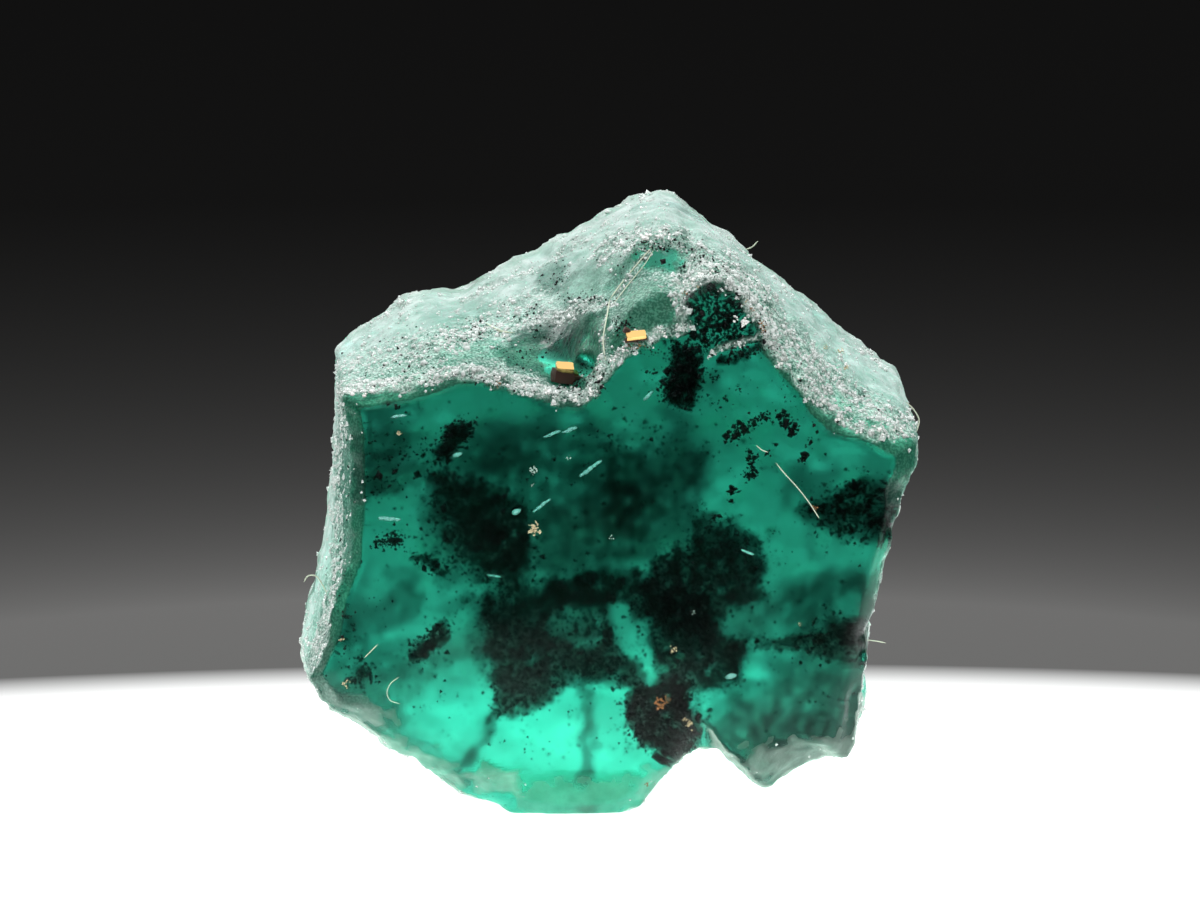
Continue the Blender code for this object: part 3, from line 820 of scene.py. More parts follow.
def triangle_mesh(name, corners, faces):
    """A mesh object from arrays of corners and triangles."""
    data = bpy.data.meshes.new(name)
    data.vertices.add(len(corners))
    data.vertices.foreach_set("co", corners.astype(np.float32).ravel())
    data.loops.add(faces.size)
    data.loops.foreach_set("vertex_index", faces.astype(np.int32).ravel())
    data.polygons.add(len(faces))
    data.polygons.foreach_set("loop_start", np.arange(0, faces.size, 3, dtype=np.int32))
    data.update(calc_edges=True)
    data.validate()
    return new_object(name, data)


def kept_inside(places, sizes, tree, cover):
    """Which places lie inside the crystal by their own size and a little more."""
    kept = np.zeros(len(places), bool)
    for index, (place, size) in enumerate(zip(places, sizes)):
        nearest, normal, face, distance = tree.find_nearest(Vector(place))
        buried = (nearest - Vector(place)).dot(normal) > 0
        kept[index] = buried and distance > size * 0.9 + cover
    return kept


def settled(groups, tree):
    """Joins groups of pixels, depths and sizes, and keeps those outside the windows and inside the crystal."""
    pixels, depths, sizes = [np.concatenate(column) for column in zip(*groups)]
    keep = ~in_windows(pixels)
    pixels, depths, sizes = pixels[keep], depths[keep], sizes[keep]
    places = behind_face(pixels, depths)
    keep = kept_inside(places, sizes, tree, 0.012)
    return places[keep], depths[keep], sizes[keep]


def scattered_specks():
    """Fine specks all through the crystal, in loose swarms."""
    points = random.uniform((330, 330), (900, 800), (BASE_SPECKS, 2))
    points = points[clumps(points, 26.0) > random.uniform(-0.3, 0.9, len(points))]
    depth = random.uniform(0.08, 2.4, len(points))
    return points, depth, BASE_SPECK_SIZE * random.lognormal(0, 0.5, len(points))


def warped(points, grain, reach):
    """Moves pixels about so that an outline read at them is ragged."""
    moved = np.empty(points.shape)
    for index, (x, y) in enumerate(points):
        at = Vector((x / grain, y / grain, 0))
        moved[index] = (noise.fractal(at, 0.8, 2.1, 3), noise.fractal(at + CRUST_OFFSET, 0.8, 2.1, 3))
    return points + moved * reach


def smoke_thickness(points, nearest, farthest):
    """How thick the smoke of the clouds in a range of depths is at each pixel, in millimetres."""
    ragged = warped(points, 17.0, 9.0)
    mottled = clumps(points, 11.0)
    thickness = np.zeros(len(points))
    for name, corners, layers, near, far, softness, size in CLOUDS:
        if size < SMOKE_FROM_SIZE or not nearest <= near < farthest:
            continue
        away = line_distance(ragged[:, 0], ragged[:, 1], (*corners, corners[0]))
        depth_in = np.where(inside_polygon(ragged, corners), away, -away)
        edge = softness * (SMOKE_EDGE[0] + SMOKE_EDGE[1] * softness)
        thickness += layers * SMOKE_PER_LAYER * smooth_step(depth_in, -edge, edge)
    for name, corners, clear in WINDOWS:
        away = line_distance(ragged[:, 0], ragged[:, 1], (*corners, corners[0]))
        depth_in = np.where(inside_polygon(ragged, corners), away, -away)
        thickness *= 1 - clear * smooth_step(depth_in, -4, 5)
    return thickness * np.clip(1 + SMOKE_MOTTLE * mottled, 0.25, 1.9)


def smoke_body(name, nearest, farthest, depth, tree):
    """One closed body of smoke, a sheet behind the face that swells where the clouds are dark."""
    across = np.arange(320, 912, SMOKE_STEP)
    down = np.arange(330, 812, SMOKE_STEP)
    x, y = np.meshgrid(across, down)
    points = np.stack([x.ravel(), y.ravel()], axis=1).astype(float)
    thickness = smoke_thickness(points, nearest, farthest)
    front = behind_face(points, np.full(len(points), depth))
    rear = behind_face(points, depth + thickness)
    flat = np.zeros(len(points))
    thickness[~kept_inside(front, flat, tree, 0.03)] = 0
    thickness[~kept_inside(rear, flat, tree, 0.03)] = 0
    present = thickness > SMOKE_THINNEST
    columns = len(across)
    grid = np.arange(len(points)).reshape(len(down), columns)
    cells = np.stack([grid[:-1, :-1], grid[:-1, 1:], grid[1:, 1:], grid[1:, :-1]], axis=-1).reshape(-1, 4)
    cells = cells[present[cells].all(axis=1)]
    edges = np.concatenate([cells[:, [0, 1]], cells[:, [1, 2]], cells[:, [2, 3]], cells[:, [3, 0]]])
    keys = np.sort(edges, axis=1) @ np.array((len(points), 1))
    found, first, count = np.unique(keys, return_index=True, return_counts=True)
    rim = edges[first[count == 1]]
    border = np.zeros(len(points), bool)
    border[rim.ravel()] = True
    thickness[border] = SMOKE_THINNEST
    rear = behind_face(points, depth + thickness)
    corners = np.concatenate([front, rear])
    past = len(points)
    quads = [cells, cells[:, ::-1] + past, np.stack([rim[:, 1], rim[:, 0], rim[:, 0] + past, rim[:, 1] + past], axis=1)]
    quads = np.concatenate(quads)
    faces = np.concatenate([quads[:, [2, 1, 0]], quads[:, [3, 2, 0]]])
    used, packed = np.unique(faces, return_inverse=True)
    return triangle_mesh(name, corners[used], packed.reshape(faces.shape))


def carbon_smoke(tree):
    """The bodies of smoke, near, middle and deep."""
    return [smoke_body(*sheet, tree) for sheet in SMOKE_SHEETS]


def carbon_pieces(tree):
    """All the carbon: near flakes, deeper clouds, and the fine haze in and round them."""
    flakes, haze = [], [scattered_specks()]
    for name, corners, layers, near, far, softness, size in CLOUDS:
        share = MORE_FLAKES
        if size >= SMOKE_FROM_SIZE:
            share = [of_layers for from_depth, of_layers in CLOUD_FLAKES if near >= from_depth][-1]
            size *= FLAKE_SCALE
        flakes.append(cloud_points(corners, layers * share, near, far, softness, size))
        if size > HAZE_FROM_SIZE * FLAKE_SCALE and near < HAZE_FARTHEST:
            haze.append(cloud_points(corners, layers * HAZE_LAYERS, near, far, softness * HAZE_SOFTNESS,
                                     HAZE_SIZE, clumped=False))
    places, depths, sizes = settled(flakes, tree)
    near = depths < 0.45
    fine, fine_depths, fine_sizes = settled(haze, tree)
    fine_near = fine_depths < np.median(fine_depths)
    print("carbon flakes", near.sum(), (~near).sum(), "haze", len(fine))
    return [
        flake_mesh("carbon_specks", places[near], sizes[near]),
        flake_mesh("carbon_clouds", places[~near], sizes[~near]),
        speck_mesh("carbon_haze_near", fine[fine_near], fine_sizes[fine_near]),
        speck_mesh("carbon_haze_deep", fine[~fine_near], fine_sizes[~fine_near]),
    ]


# The crust's grains

def surface_points(mesh, weights, count):
    """Random points of a mesh's surface, more where the vertex weights are high."""
    mesh.calc_loop_triangles()
    corners = np.empty(len(mesh.loop_triangles) * 3, np.int32)
    mesh.loop_triangles.foreach_get("vertices", corners)
    corners = corners.reshape(-1, 3)
    places = np.array([vertex.co for vertex in mesh.vertices])
    normals = np.array([vertex.normal for vertex in mesh.vertices])
    a, b, c = [places[corners[:, index]] for index in range(3)]
    area = np.linalg.norm(np.cross(b - a, c - a), axis=1)
    chance = area * weights[corners].mean(axis=1)
    chosen = random.choice(len(corners), count, p=chance / chance.sum())
    mix = random.dirichlet((1, 1, 1), count)
    picked = corners[chosen]
    points = np.einsum("nk,nki->ni", mix, places[picked])
    outward = np.einsum("nk,nki->ni", mix, normals[picked])
    return points, outward / np.linalg.norm(outward, axis=1)[:, None]


def crust_grains(body):
    """Tiny bright crystals grown over the lips and the etched faces."""
    mesh = body.data
    frost = np.empty(len(mesh.vertices), np.float32)
    crust = np.empty(len(mesh.vertices), np.float32)
    mesh.attributes["frost"].data.foreach_get("value", frost)
    mesh.attributes["crust"].data.foreach_get("value", crust)
    heights = np.array([vertex.co.z for vertex in mesh.vertices])
    clustered = np.array([noise.noise(vertex.co / GRAIN_CLUSTER) for vertex in mesh.vertices])
    rearward = smooth_step(np.array([vertex.normal.y for vertex in mesh.vertices]), 0.4, 0.8)
    weights = (crust ** 1.5 + 0.06 * frost ** 2) * (heights > 0.06) * np.clip(0.6 + 2.2 * clustered, 0.1, 2)
    weights *= 1 - 0.8 * rearward
    points, outward = surface_points(mesh, weights, GRAINS)
    sizes = GRAIN_SIZE * random.lognormal(0, GRAIN_SPREAD, GRAINS).clip(0, 4.5)
    return flake_mesh("crust_grains", points - outward * sizes[:, None] * 0.1, sizes, flatness=0.9)


# The pyrite, its pit and the small things on the surface

GOLD = (
    ((-0.305, -1.175, 4.035), (0.165, 0.11, 0.055), (32, 6, 8)),
    ((-0.215, -1.12, 3.975), (0.06, 0.06, 0.045), (38, 12, 40)),
    ((0.325, -1.58, 4.372), (0.185, 0.09, 0.055), (36, -5, 4)),
)
# Painted shade: dark brown boxes under and behind the gold cubes stand for the pyrite's shaded sides.
PYRITE_PAINTED_SHADE = (
    ((-0.325, -1.14, 3.955), (0.19, 0.14, 0.13), (4, 8, 18)),
    ((-0.225, -1.10, 3.925), (0.10, 0.10, 0.09), (24, 12, 40)),
    ((0.325, -1.565, 4.340), (0.21, 0.09, 0.05), (-8, -8, 4)),
    ((0.240, -1.55, 4.415), (0.06, 0.05, 0.05), (20, 30, 10)),
)
WORN_CORNERS = 0.26


def pyrite_cubes(name, cubes):
    """Cubes of pyrite, with worn corners."""
    mesh = bmesh.new()
    for centre, sizes, turn in cubes:
        cube = bmesh.new()
        bmesh.ops.create_cube(cube, size=1)
        bmesh.ops.subdivide_edges(cube, edges=cube.edges, cuts=5, use_grid_fill=True)
        for vertex in cube.verts:
            push = noise.noise(vertex.co * 2.3 + Vector(centre) * 3)
            vertex.co *= 1 - WORN_CORNERS * max(0.0, vertex.co.length - 0.5) + 0.06 * push
        placed(cube, centre, sizes, turn)
        part = bpy.data.meshes.new("cube")
        cube.to_mesh(part)
        cube.free()
        mesh.from_mesh(part)
        bpy.data.meshes.remove(part)
    return mesh_object(name, mesh)


# Bright fractures just behind the face, their pale colour a painted glint of the light they reflect: middle in pixels,
# half length, half width, turn in degrees, depth
GLINTS = (
    ((389, 519), 13, 3.0, -3, 0.10),
    ((552, 434), 11, 2.2, 22, 0.16),
    ((570, 430), 9, 2.2, 20, 0.14),
    ((590, 469), 16, 2.8, 36, 0.12),
    ((541, 506), 12, 2.4, 38, 0.12),
    ((516, 512), 4, 3.5, 30, 0.10),
    ((399, 416), 7, 2.8, 8, 0.06),
    ((457, 455), 4, 2.2, 20, 0.12),
    ((494, 576), 7, 1.6, -10, 0.2),
    ((747, 552), 7, 2.2, -24, 0.12),
    ((648, 396), 5, 2.2, 40, 0.10),
    ((731, 676), 5, 3.0, 20, 0.06),
)


def glints(tree):
    """Thin bright splinters of fracture, as flat irregular plates turned up to the light, their pale colour a painted
    glint.
    """
    corners, faces = [], []
    for (x, y), half_length, half_width, turn, depth in GLINTS:
        splinters = max(1, int(half_length / 3))
        for number in range(splinters):
            along = (number + 0.5) / splinters * 2 - 1 if splinters > 1 else 0
            length = half_length / splinters * random.uniform(1.0, 1.7)
            width = half_width * (1 - 0.55 * abs(along)) * random.uniform(0.7, 1.1)
            lean = math.radians(turn + random.uniform(-8, 8))
            rim = []
            for index in range(8):
                at = index / 8 * 2 * math.pi
                reach = random.uniform(0.75, 1.15)
                u, v = math.cos(at) * length * reach, math.sin(at) * width * reach
                middle_x = x + along * half_length * math.cos(math.radians(turn)) * 0.8
                middle_y = y - along * half_length * math.sin(math.radians(turn)) * 0.8
                rim.append((
                    middle_x + u * math.cos(lean) - v * math.sin(lean),
                    middle_y - u * math.sin(lean) - v * math.cos(lean),
                ))
            ring = behind_face(np.array(rim), np.full(8, depth))
            start = len(corners)
            corners.extend(ring)
            corners.append(ring.mean(axis=0) + np.array((0, 0.012, 0)))
            corners.append(ring.mean(axis=0) - np.array((0, 0.004, 0)))
            for index in range(8):
                after = (index + 1) % 8
                faces.append((start + index, start + 9, start + after))
                faces.append((start + after, start + 8, start + index))
    return triangle_mesh("fracture_glints", np.array(corners), np.array(faces))


# Lint on the surface: pixels along each fibre, thickness, how far back from its nearest point it may lie
LAID = 9.0
LINT = (
    (((776, 463), (785, 474), (797, 487), (808, 501), (814, 510), (819, 518)), 0.011, LAID),
    (((304, 582), (308, 576), (316, 576), (322, 584), (328, 594)), 0.012, 0.15),
    (((364, 658), (370, 652), (378, 644)), 0.008, LAID),
    (((399, 677), (391, 683), (387, 692), (390, 700), (400, 704)), 0.007, LAID),
    (((745, 250), (752, 247), (758, 241)), 0.012, 0.15),
    (((906, 402), (914, 410), (919, 420), (916, 432)), 0.012, 0.15),
    (((866, 640), (876, 641), (886, 643)), 0.010, 0.15),
    (((486, 324), (498, 330), (512, 334)), 0.014, LAID),
    (((610, 300), (607, 318), (604, 340), (606, 360)), 0.014, LAID),
    (((652, 248), (640, 262), (622, 284), (610, 300)), 0.014, LAID),
    (((756, 445), (762, 450), (768, 452)), 0.010, LAID),
    (((486, 327), (500, 332), (515, 333)), 0.012, LAID),
    (((654, 250), (644, 266), (628, 286), (614, 304)), 0.010, LAID),
)


def pixel_ray(x, y):
    """The photo camera's ray through a pixel, a unit long along the camera's axis."""
    eye, right, up, ahead = camera_axes()
    across = (x - PHOTO_WIDTH / 2) / FOCAL_PIXELS
    above = (PHOTO_HEIGHT / 2 - y) / FOCAL_PIXELS
    return ahead + right * across + up * above


def on_surface(pixels, tree, lift):
    """Where the photo camera's ray meets the crystal, lifted off it a little, or None past its edge."""
    eye = camera_axes()[0]
    found = []
    for x, y in pixels:
        place, normal, face, distance = tree.ray_cast(eye, pixel_ray(x, y).normalized())
        found.append(None if place is None else place + normal * lift)
    return found


def draped(pixels, tree, lift, reach):
    """A line over the surface that stands free where it runs past the edge or too far back."""
    eye, right, up, ahead = camera_axes()
    found = on_surface(pixels, tree, lift)
    nearest = min((place - eye).dot(ahead) for place in found if place is not None)
    for index, (x, y) in enumerate(pixels):
        place = found[index]
        if place is None or (place - eye).dot(ahead) > nearest + reach:
            found[index] = eye + pixel_ray(x, y) * nearest
    return found


def smooth_line(points, steps):
    """A smooth line through points."""
    padded = [points[0] * 2 - points[1], *points, points[-1] * 2 - points[-2]]
    line = []
    for before, start, end, after in zip(padded, padded[1:], padded[2:], padded[3:]):
        for step in range(steps):
            t = step / steps
            line.append(0.5 * (
                2 * start + (end - before) * t
                + (2 * before - 5 * start + 4 * end - after) * t ** 2
                + (3 * start - before - 3 * end + after) * t ** 3
            ))
    line.append(points[-1])
    return line


def fibres(name, lines, tree):
    """Fine fibres along lines of pixels over the stone."""
    corners, faces = [], []
    sides = 6
    for pixels, thickness, reach in lines:
        line = smooth_line(draped(pixels, tree, thickness * 0.6, reach), 6)
        start = len(corners)
        for index, place in enumerate(line):
            along = line[min(index + 1, len(line) - 1)] - line[max(index - 1, 0)]
            across = along.cross(Vector((0.1, -1, 0.3))).normalized()
            upward = along.cross(across).normalized()
            taper = min(1.0, 0.35 + 0.3 * min(index, len(line) - 1 - index))
            for side in range(sides):
                at = side / sides * 2 * math.pi
                reach = across * math.cos(at) + upward * math.sin(at)
                corners.append(place + reach * thickness / 2 * taper)
        for row in range(len(line) - 1):
            for side in range(sides):
                a = start + row * sides + side
                b = start + row * sides + (side + 1) % sides
                faces.append((a, b, b + sides))
                faces.append((a, b + sides, a + sides))
        for end in (start, start + (len(line) - 1) * sides):
            for side in range(1, sides - 1):
                faces.append((end, end + side, end + side + 1))
    return triangle_mesh(name, np.array(corners), np.array(faces))


# Dark crumbs round the pyrite and in the crust, in part painted shade in the pit and under ledges: pixel, spread in
# pixels, count
CRUMBS_AND_PAINTED_SHADE = (
    ((576, 384), (10, 6), 150),
    ((566, 378), (8, 6), 60),
    ((594, 376), (8, 10), 110),
    ((478, 329), (7, 5), 70),
    ((538, 352), (10, 10), 40),
    ((505, 352), (12, 10), 50),
    ((626, 330), (8, 5), 50),
    ((640, 350), (10, 4), 40),
    ((700, 262), (20, 6), 50),
    ((760, 322), (4, 12), 60),
    ((640, 250), (24, 10), 70),
    ((745, 350), (16, 4), 110),
    ((560, 275), (7, 7), 60),
    ((345, 520), (4, 60), 60),
    ((338, 620), (8, 30), 60),
    ((420, 350), (40, 14), 90),
    ((820, 400), (40, 16), 90),
    ((484, 328), (8, 5), 60),
    ((582, 299), (14, 3), 70),
    ((530, 312), (14, 4), 50),
    ((680, 240), (10, 5), 60),
    ((655, 246), (12, 4), 60),
    ((700, 256), (8, 6), 50),
    ((720, 270), (10, 4), 40),
    ((722, 310), (16, 18), 90),
    ((548, 336), (10, 5), 30),
    ((620, 325), (4, 5), 40),
    ((400, 372), (40, 8), 60),
    ((500, 380), (30, 5), 40),
)


# Bright lumps of clear crust, some of them painted highlights: pixel, size in pixels
BEADS_AND_PAINTED_HIGHLIGHTS = (
    ((744, 322), 12),
    ((736, 318), 7),
    ((648, 235), 11),
    ((658, 237), 8),
    ((668, 232), 6),
    ((712, 272), 8),
    ((700, 277), 8),
    ((688, 284), 9),
    ((352, 393), 10),
    ((364, 396), 8),
    ((374, 391), 9),
    ((396, 385), 7),
    ((420, 381), 6),
    ((446, 374), 6),
    ((498, 378), 7),
    ((524, 386), 7),
    ((548, 393), 8),
    ((574, 400), 8),
    ((592, 392), 7),
    ((600, 378), 7),
    ((612, 358), 8),
    ((626, 350), 7),
    ((636, 331), 6),
    ((664, 334), 6),
    ((780, 362), 7),
    ((800, 378), 7),
    ((822, 404), 7),
    ((838, 420), 7),
    ((858, 432), 8),
    ((880, 430), 8),
    ((898, 428), 8),
    ((912, 416), 7),
    ((842, 350), 6),
    ((846, 366), 6),
)
BEAD_CHIPS = 5

# Fine growth lines that fan out in the scoop: their upper ends, lower ends and number, in pixels
GROWTH_FROM = ((566, 326), (603, 322))
GROWTH_TO = ((548, 356), (602, 366))
GROWTH_LINES = 15
GROWTH_THICKNESS = 0.0045

# Dust and brown specks on the surface: pixel, size in pixels, material slot
DUST = (
    ((740, 294), 3, "tan"),
    ((746, 302), 4, "tan"),
    ((752, 309), 4, "rust"),
    ((757, 316), 4, "tan"),
    ((762, 324), 5, "rust"),
    ((764, 331), 4, "rust"),
    ((686, 293), 4, "rust"),
    ((698, 287), 3, "tan"),
    ((640, 345), 4, "rust"),
    ((630, 346), 4, "rust"),
    ((533, 470), 6, "pale"),
    ((569, 458), 4, "pale"),
    ((611, 538), 3, "pale"),
    ((694, 612), 3, "pale"),
    ((532, 485), 3, "pale"),
    ((534, 528), 9, "tan"),
    ((399, 433), 4, "tan"),
    ((660, 703), 8, "rust"),
    ((667, 699), 5, "rust"),
    ((689, 724), 6, "tan"),
    ((684, 720), 4, "tan"),
    ((673, 650), 5, "tan"),
    ((647, 784), 4, "rust"),
    ((841, 352), 5, "tan"),
    ((846, 368), 5, "tan"),
    ((826, 347), 4, "tan"),
    ((814, 508), 4, "rust"),
    ((499, 384), 4, "rust"),
    ((800, 624), 3, "tan"),
    ((342, 640), 4, "tan"),
    ((345, 683), 5, "tan"),
    ((339, 337), 3, "tan"),
)


def crumbs_and_painted_shade(tree):
    """Black crumbs of carbon and shale caught in the crust; those in the pyrite's pit and under the ledges are painted
    shade.
    """
    places, sizes = [], []
    for middle, spread, count in CRUMBS_AND_PAINTED_SHADE:
        for place in on_surface(random.normal(middle, spread, (count, 2)), tree, 0.0):
            if place is not None:
                places.append(place)
                sizes.append(0.011 * random.lognormal(0, 0.45))
    return flake_mesh("carbon_crumbs", np.array(places), np.array(sizes), flatness=0.8)


def beads_and_painted_highlights(tree):
    """Bright rounded lumps in the crust, in part painted highlights."""
    places, sizes = [], []
    for pixel, size in BEADS_AND_PAINTED_HIGHLIGHTS:
        spots = np.array(pixel) + random.normal(0, size * 0.25, (BEAD_CHIPS, 2))
        for place in on_surface(spots, tree, 0.0):
            if place is not None:
                places.append(place)
                sizes.append(size * PIXEL * random.uniform(0.25, 0.55))
    return flake_mesh("crust_beads", np.array(places), np.array(sizes), flatness=0.8)


def growth_lines(tree):
    """Thin raised lines that fan out over the scoop's glassy wall."""
    lines = []
    for index in range(GROWTH_LINES):
        share = index / (GROWTH_LINES - 1)
        ends = []
        for (x0, y0), (x1, y1) in (GROWTH_FROM, GROWTH_TO):
            ends.append(np.array((x0 + (x1 - x0) * share, y0 + (y1 - y0) * share)) + random.uniform(-2, 2, 2))
        middle = (ends[0] + ends[1]) / 2 + random.uniform(-1, 1, 2)
        thickness = GROWTH_THICKNESS * random.uniform(0.6, 1.5)
        lines.append(((tuple(ends[0]), tuple(middle), tuple(ends[1])), thickness, LAID))
    return fibres("growth_lines", lines, tree)


def dust_pieces(tree):
    """Grains of dust and iron stain, each a little pile of chips."""
    pieces = []
    for kind in ("tan", "rust", "pale"):
        places, sizes = [], []
        for pixel, size, of_kind in DUST:
            if of_kind != kind:
                continue
            count = int(size * 3)
            spots = np.array(pixel) + random.normal(0, size * 0.34, (count, 2))
            for place in on_surface(spots, tree, 0.004):
                if place is not None:
                    places.append(place)
                    sizes.append(size * PIXEL * random.uniform(0.16, 0.42))
        pieces.append(flake_mesh(f"dust_{kind}", np.array(places), np.array(sizes)))
    return pieces


# Materials

def principled(name, colour, roughness, **values):
    """A plain material with the values set on the shader's own sockets."""
    material = bpy.data.materials.new(name)
    material.use_nodes = True
    shader = material.node_tree.nodes["Principled BSDF"]
    shader.inputs["Base Color"].default_value = (*colour, 1)
    shader.inputs["Roughness"].default_value = roughness
    for socket, value in values.items():
        shader.inputs[socket.replace("_", " ")].default_value = value
    return material


def attribute(tree, name):
    """The output of one stored number."""
    node = tree.nodes.new("ShaderNodeAttribute")
    node.attribute_name = name
    return node.outputs["Fac"]


def noise_texture(tree, place, scale, detail):
    """Cloudy noise fixed to the stone."""
    node = tree.nodes.new("ShaderNodeTexNoise")
    node.inputs["Scale"].default_value = scale
    node.inputs["Detail"].default_value = detail
    tree.links.new(place.outputs["Object"], node.inputs["Vector"])
    return node.outputs["Fac"]


def ranged(tree, value, low, high, to_low, to_high, clamp=True):
    """Maps a value from one range to another."""
    node = tree.nodes.new("ShaderNodeMapRange")
    node.clamp = clamp
    for socket, number in (("From Min", low), ("From Max", high), ("To Min", to_low), ("To Max", to_high)):
        node.inputs[socket].default_value = number
    tree.links.new(value, node.inputs["Value"])
    return node.outputs["Result"]


def mixed(tree, share, first, second):
    """Mixes two colours, each a plain colour or a node's output."""
    node = tree.nodes.new("ShaderNodeMix")
    node.data_type = "RGBA"
    tree.links.new(share, node.inputs["Factor"])
    for socket, colour in (("A", first), ("B", second)):
        if isinstance(colour, tuple):
            node.inputs[socket].default_value = (*colour, 1)
        else:
            tree.links.new(colour, node.inputs[socket])
    return node.outputs["Result"]


def emerald_glass():
    """Clear green beryl, glassy on its face and frosted where it is etched."""
    material = principled("emerald", (1, 1, 1), 0.1, IOR=BERYL_IOR)
    tree = material.node_tree
    nodes, links = tree.nodes, tree.links
    shader = nodes["Principled BSDF"]
    output = nodes["Material Output"]
    place = nodes.new("ShaderNodeTexCoord")
    frost = attribute(tree, "frost")
    crust = attribute(tree, "crust")
    mottled = noise_texture(tree, place, 6000, 4)
    patch = ranged(tree, mottled, 0.35, 0.65, 0.0, 1.0)
    stipple = ranged(tree, noise_texture(tree, place, 46000, 2), 0.46, 0.60, 0.0, 1.0)
    split = nodes.new("ShaderNodeSeparateXYZ")
    links.new(place.outputs["Object"], split.inputs["Vector"])
    rearward = ranged(tree, split.outputs["Y"], -0.0009, 0.0004, 0.0, 1.0)
    green_skin = mixed(tree, stipple, (0.03, 0.15, 0.11), (0.62, 0.74, 0.68))
    pale_skin = mixed(tree, stipple, (0.16, 0.25, 0.21), (0.90, 0.94, 0.91))
    front_skin = mixed(tree, patch, green_skin, pale_skin)
    rear_skin = mixed(tree, patch, (0.40, 0.56, 0.49), (0.74, 0.80, 0.77))
    skin_colour = mixed(tree, rearward, front_skin, rear_skin)
    low_skin = mixed(tree, patch, (0.36, 0.45, 0.39), (0.62, 0.72, 0.65))
    lowness = ranged(tree, split.outputs["Z"], 0.0013, 0.0009, 0.0, 1.0)
    lumpy = ranged(tree, noise_texture(tree, place, 11000, 3), 0.40, 0.58, 0.0, 1.0)
    dim_crust = mixed(tree, stipple, (0.03, 0.08, 0.06), (0.46, 0.60, 0.53))
    bright_crust = mixed(tree, stipple, (0.40, 0.48, 0.43), (1.0, 1.0, 0.97))
    crust_colour = mixed(tree, lumpy, dim_crust, bright_crust)
    # Painted shade: where the shade attribute is high the skin turns dark green, partly its own deeper green, partly
    # painted shade on borders, lips and scoop.
    shaded_colour = mixed(tree, stipple, (0.008, 0.085, 0.058), (0.06, 0.21, 0.15))
    darkened = mixed(tree, attribute(tree, "shade"), skin_colour, shaded_colour)
    lowered = mixed(tree, lowness, darkened, low_skin)
    whitened = mixed(tree, crust, lowered, crust_colour)
    milky = attribute(tree, "milky")
    colour = mixed(tree, ranged(tree, milky, 0.02, 0.24, 0, 1), (1, 1, 1), whitened)
    links.new(colour, shader.inputs["Base Color"])
    links.new(ranged(tree, frost, 0, 1, 0.19, 0.6), shader.inputs["Roughness"])
    links.new(ranged(tree, milky, 0.14, 1, 1.0, 0.42), shader.inputs["Transmission Weight"])
    shader.inputs["Specular Tint"].default_value = (0.22, 0.22, 0.22, 1)
    bump = nodes.new("ShaderNodeBump")
    bump.inputs["Strength"].default_value = 0.6
    bump.inputs["Distance"].default_value = 0.00002
    grain = nodes.new("ShaderNodeTexNoise")
    grain.inputs["Scale"].default_value = 26000
    grain.inputs["Detail"].default_value = 5
    links.new(place.outputs["Object"], grain.inputs["Vector"])
    height = nodes.new("ShaderNodeMath")
    height.operation = "MULTIPLY"
    links.new(grain.outputs["Fac"], height.inputs[0])
    links.new(frost, height.inputs[1])
    links.new(height.outputs["Value"], bump.inputs["Height"])
    links.new(bump.outputs["Normal"], shader.inputs["Normal"])
    clear = nodes.new("ShaderNodeBsdfTransparent")
    light_path = nodes.new("ShaderNodeLightPath")
    let_through = nodes.new("ShaderNodeMixShader")
    links.new(light_path.outputs["Is Shadow Ray"], let_through.inputs["Fac"])
    links.new(shader.outputs["BSDF"], let_through.inputs[1])
    links.new(clear.outputs["BSDF"], let_through.inputs[2])
    links.new(let_through.outputs["Shader"], output.inputs["Surface"])
    absorb = nodes.new("ShaderNodeVolumeAbsorption")
    absorb.inputs["Color"].default_value = (0.05, 0.92, 0.80, 1)
    absorb.inputs["Density"].default_value = 1000
    links.new(absorb.outputs["Volume"], output.inputs["Volume"])
    return material


def smoke_material():
    """Fine carbon in clear beryl: nothing to see but the light that it takes."""
    material = bpy.data.materials.new("carbon_smoke")
    material.use_nodes = True
    nodes, links = material.node_tree.nodes, material.node_tree.links
    nodes.remove(nodes["Principled BSDF"])
    clear = nodes.new("ShaderNodeBsdfTransparent")
    absorb = nodes.new("ShaderNodeVolumeAbsorption")
    absorb.inputs["Color"].default_value = (0.0, 0.0, 0.0, 1)
    absorb.inputs["Density"].default_value = SMOKE_DENSITY
    output = nodes["Material Output"]
    links.new(clear.outputs["BSDF"], output.inputs["Surface"])
    links.new(absorb.outputs["Volume"], output.inputs["Volume"])
    return material


def finish_piece(obj, material):
    """Scales a piece to metres, gives it its material and lets it ride on the stone."""
    obj.data.transform(Matrix.Scale(MM, 4))
    obj.data.materials.clear()
    obj.data.materials.append(material)
    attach(obj, "root")


# The stage

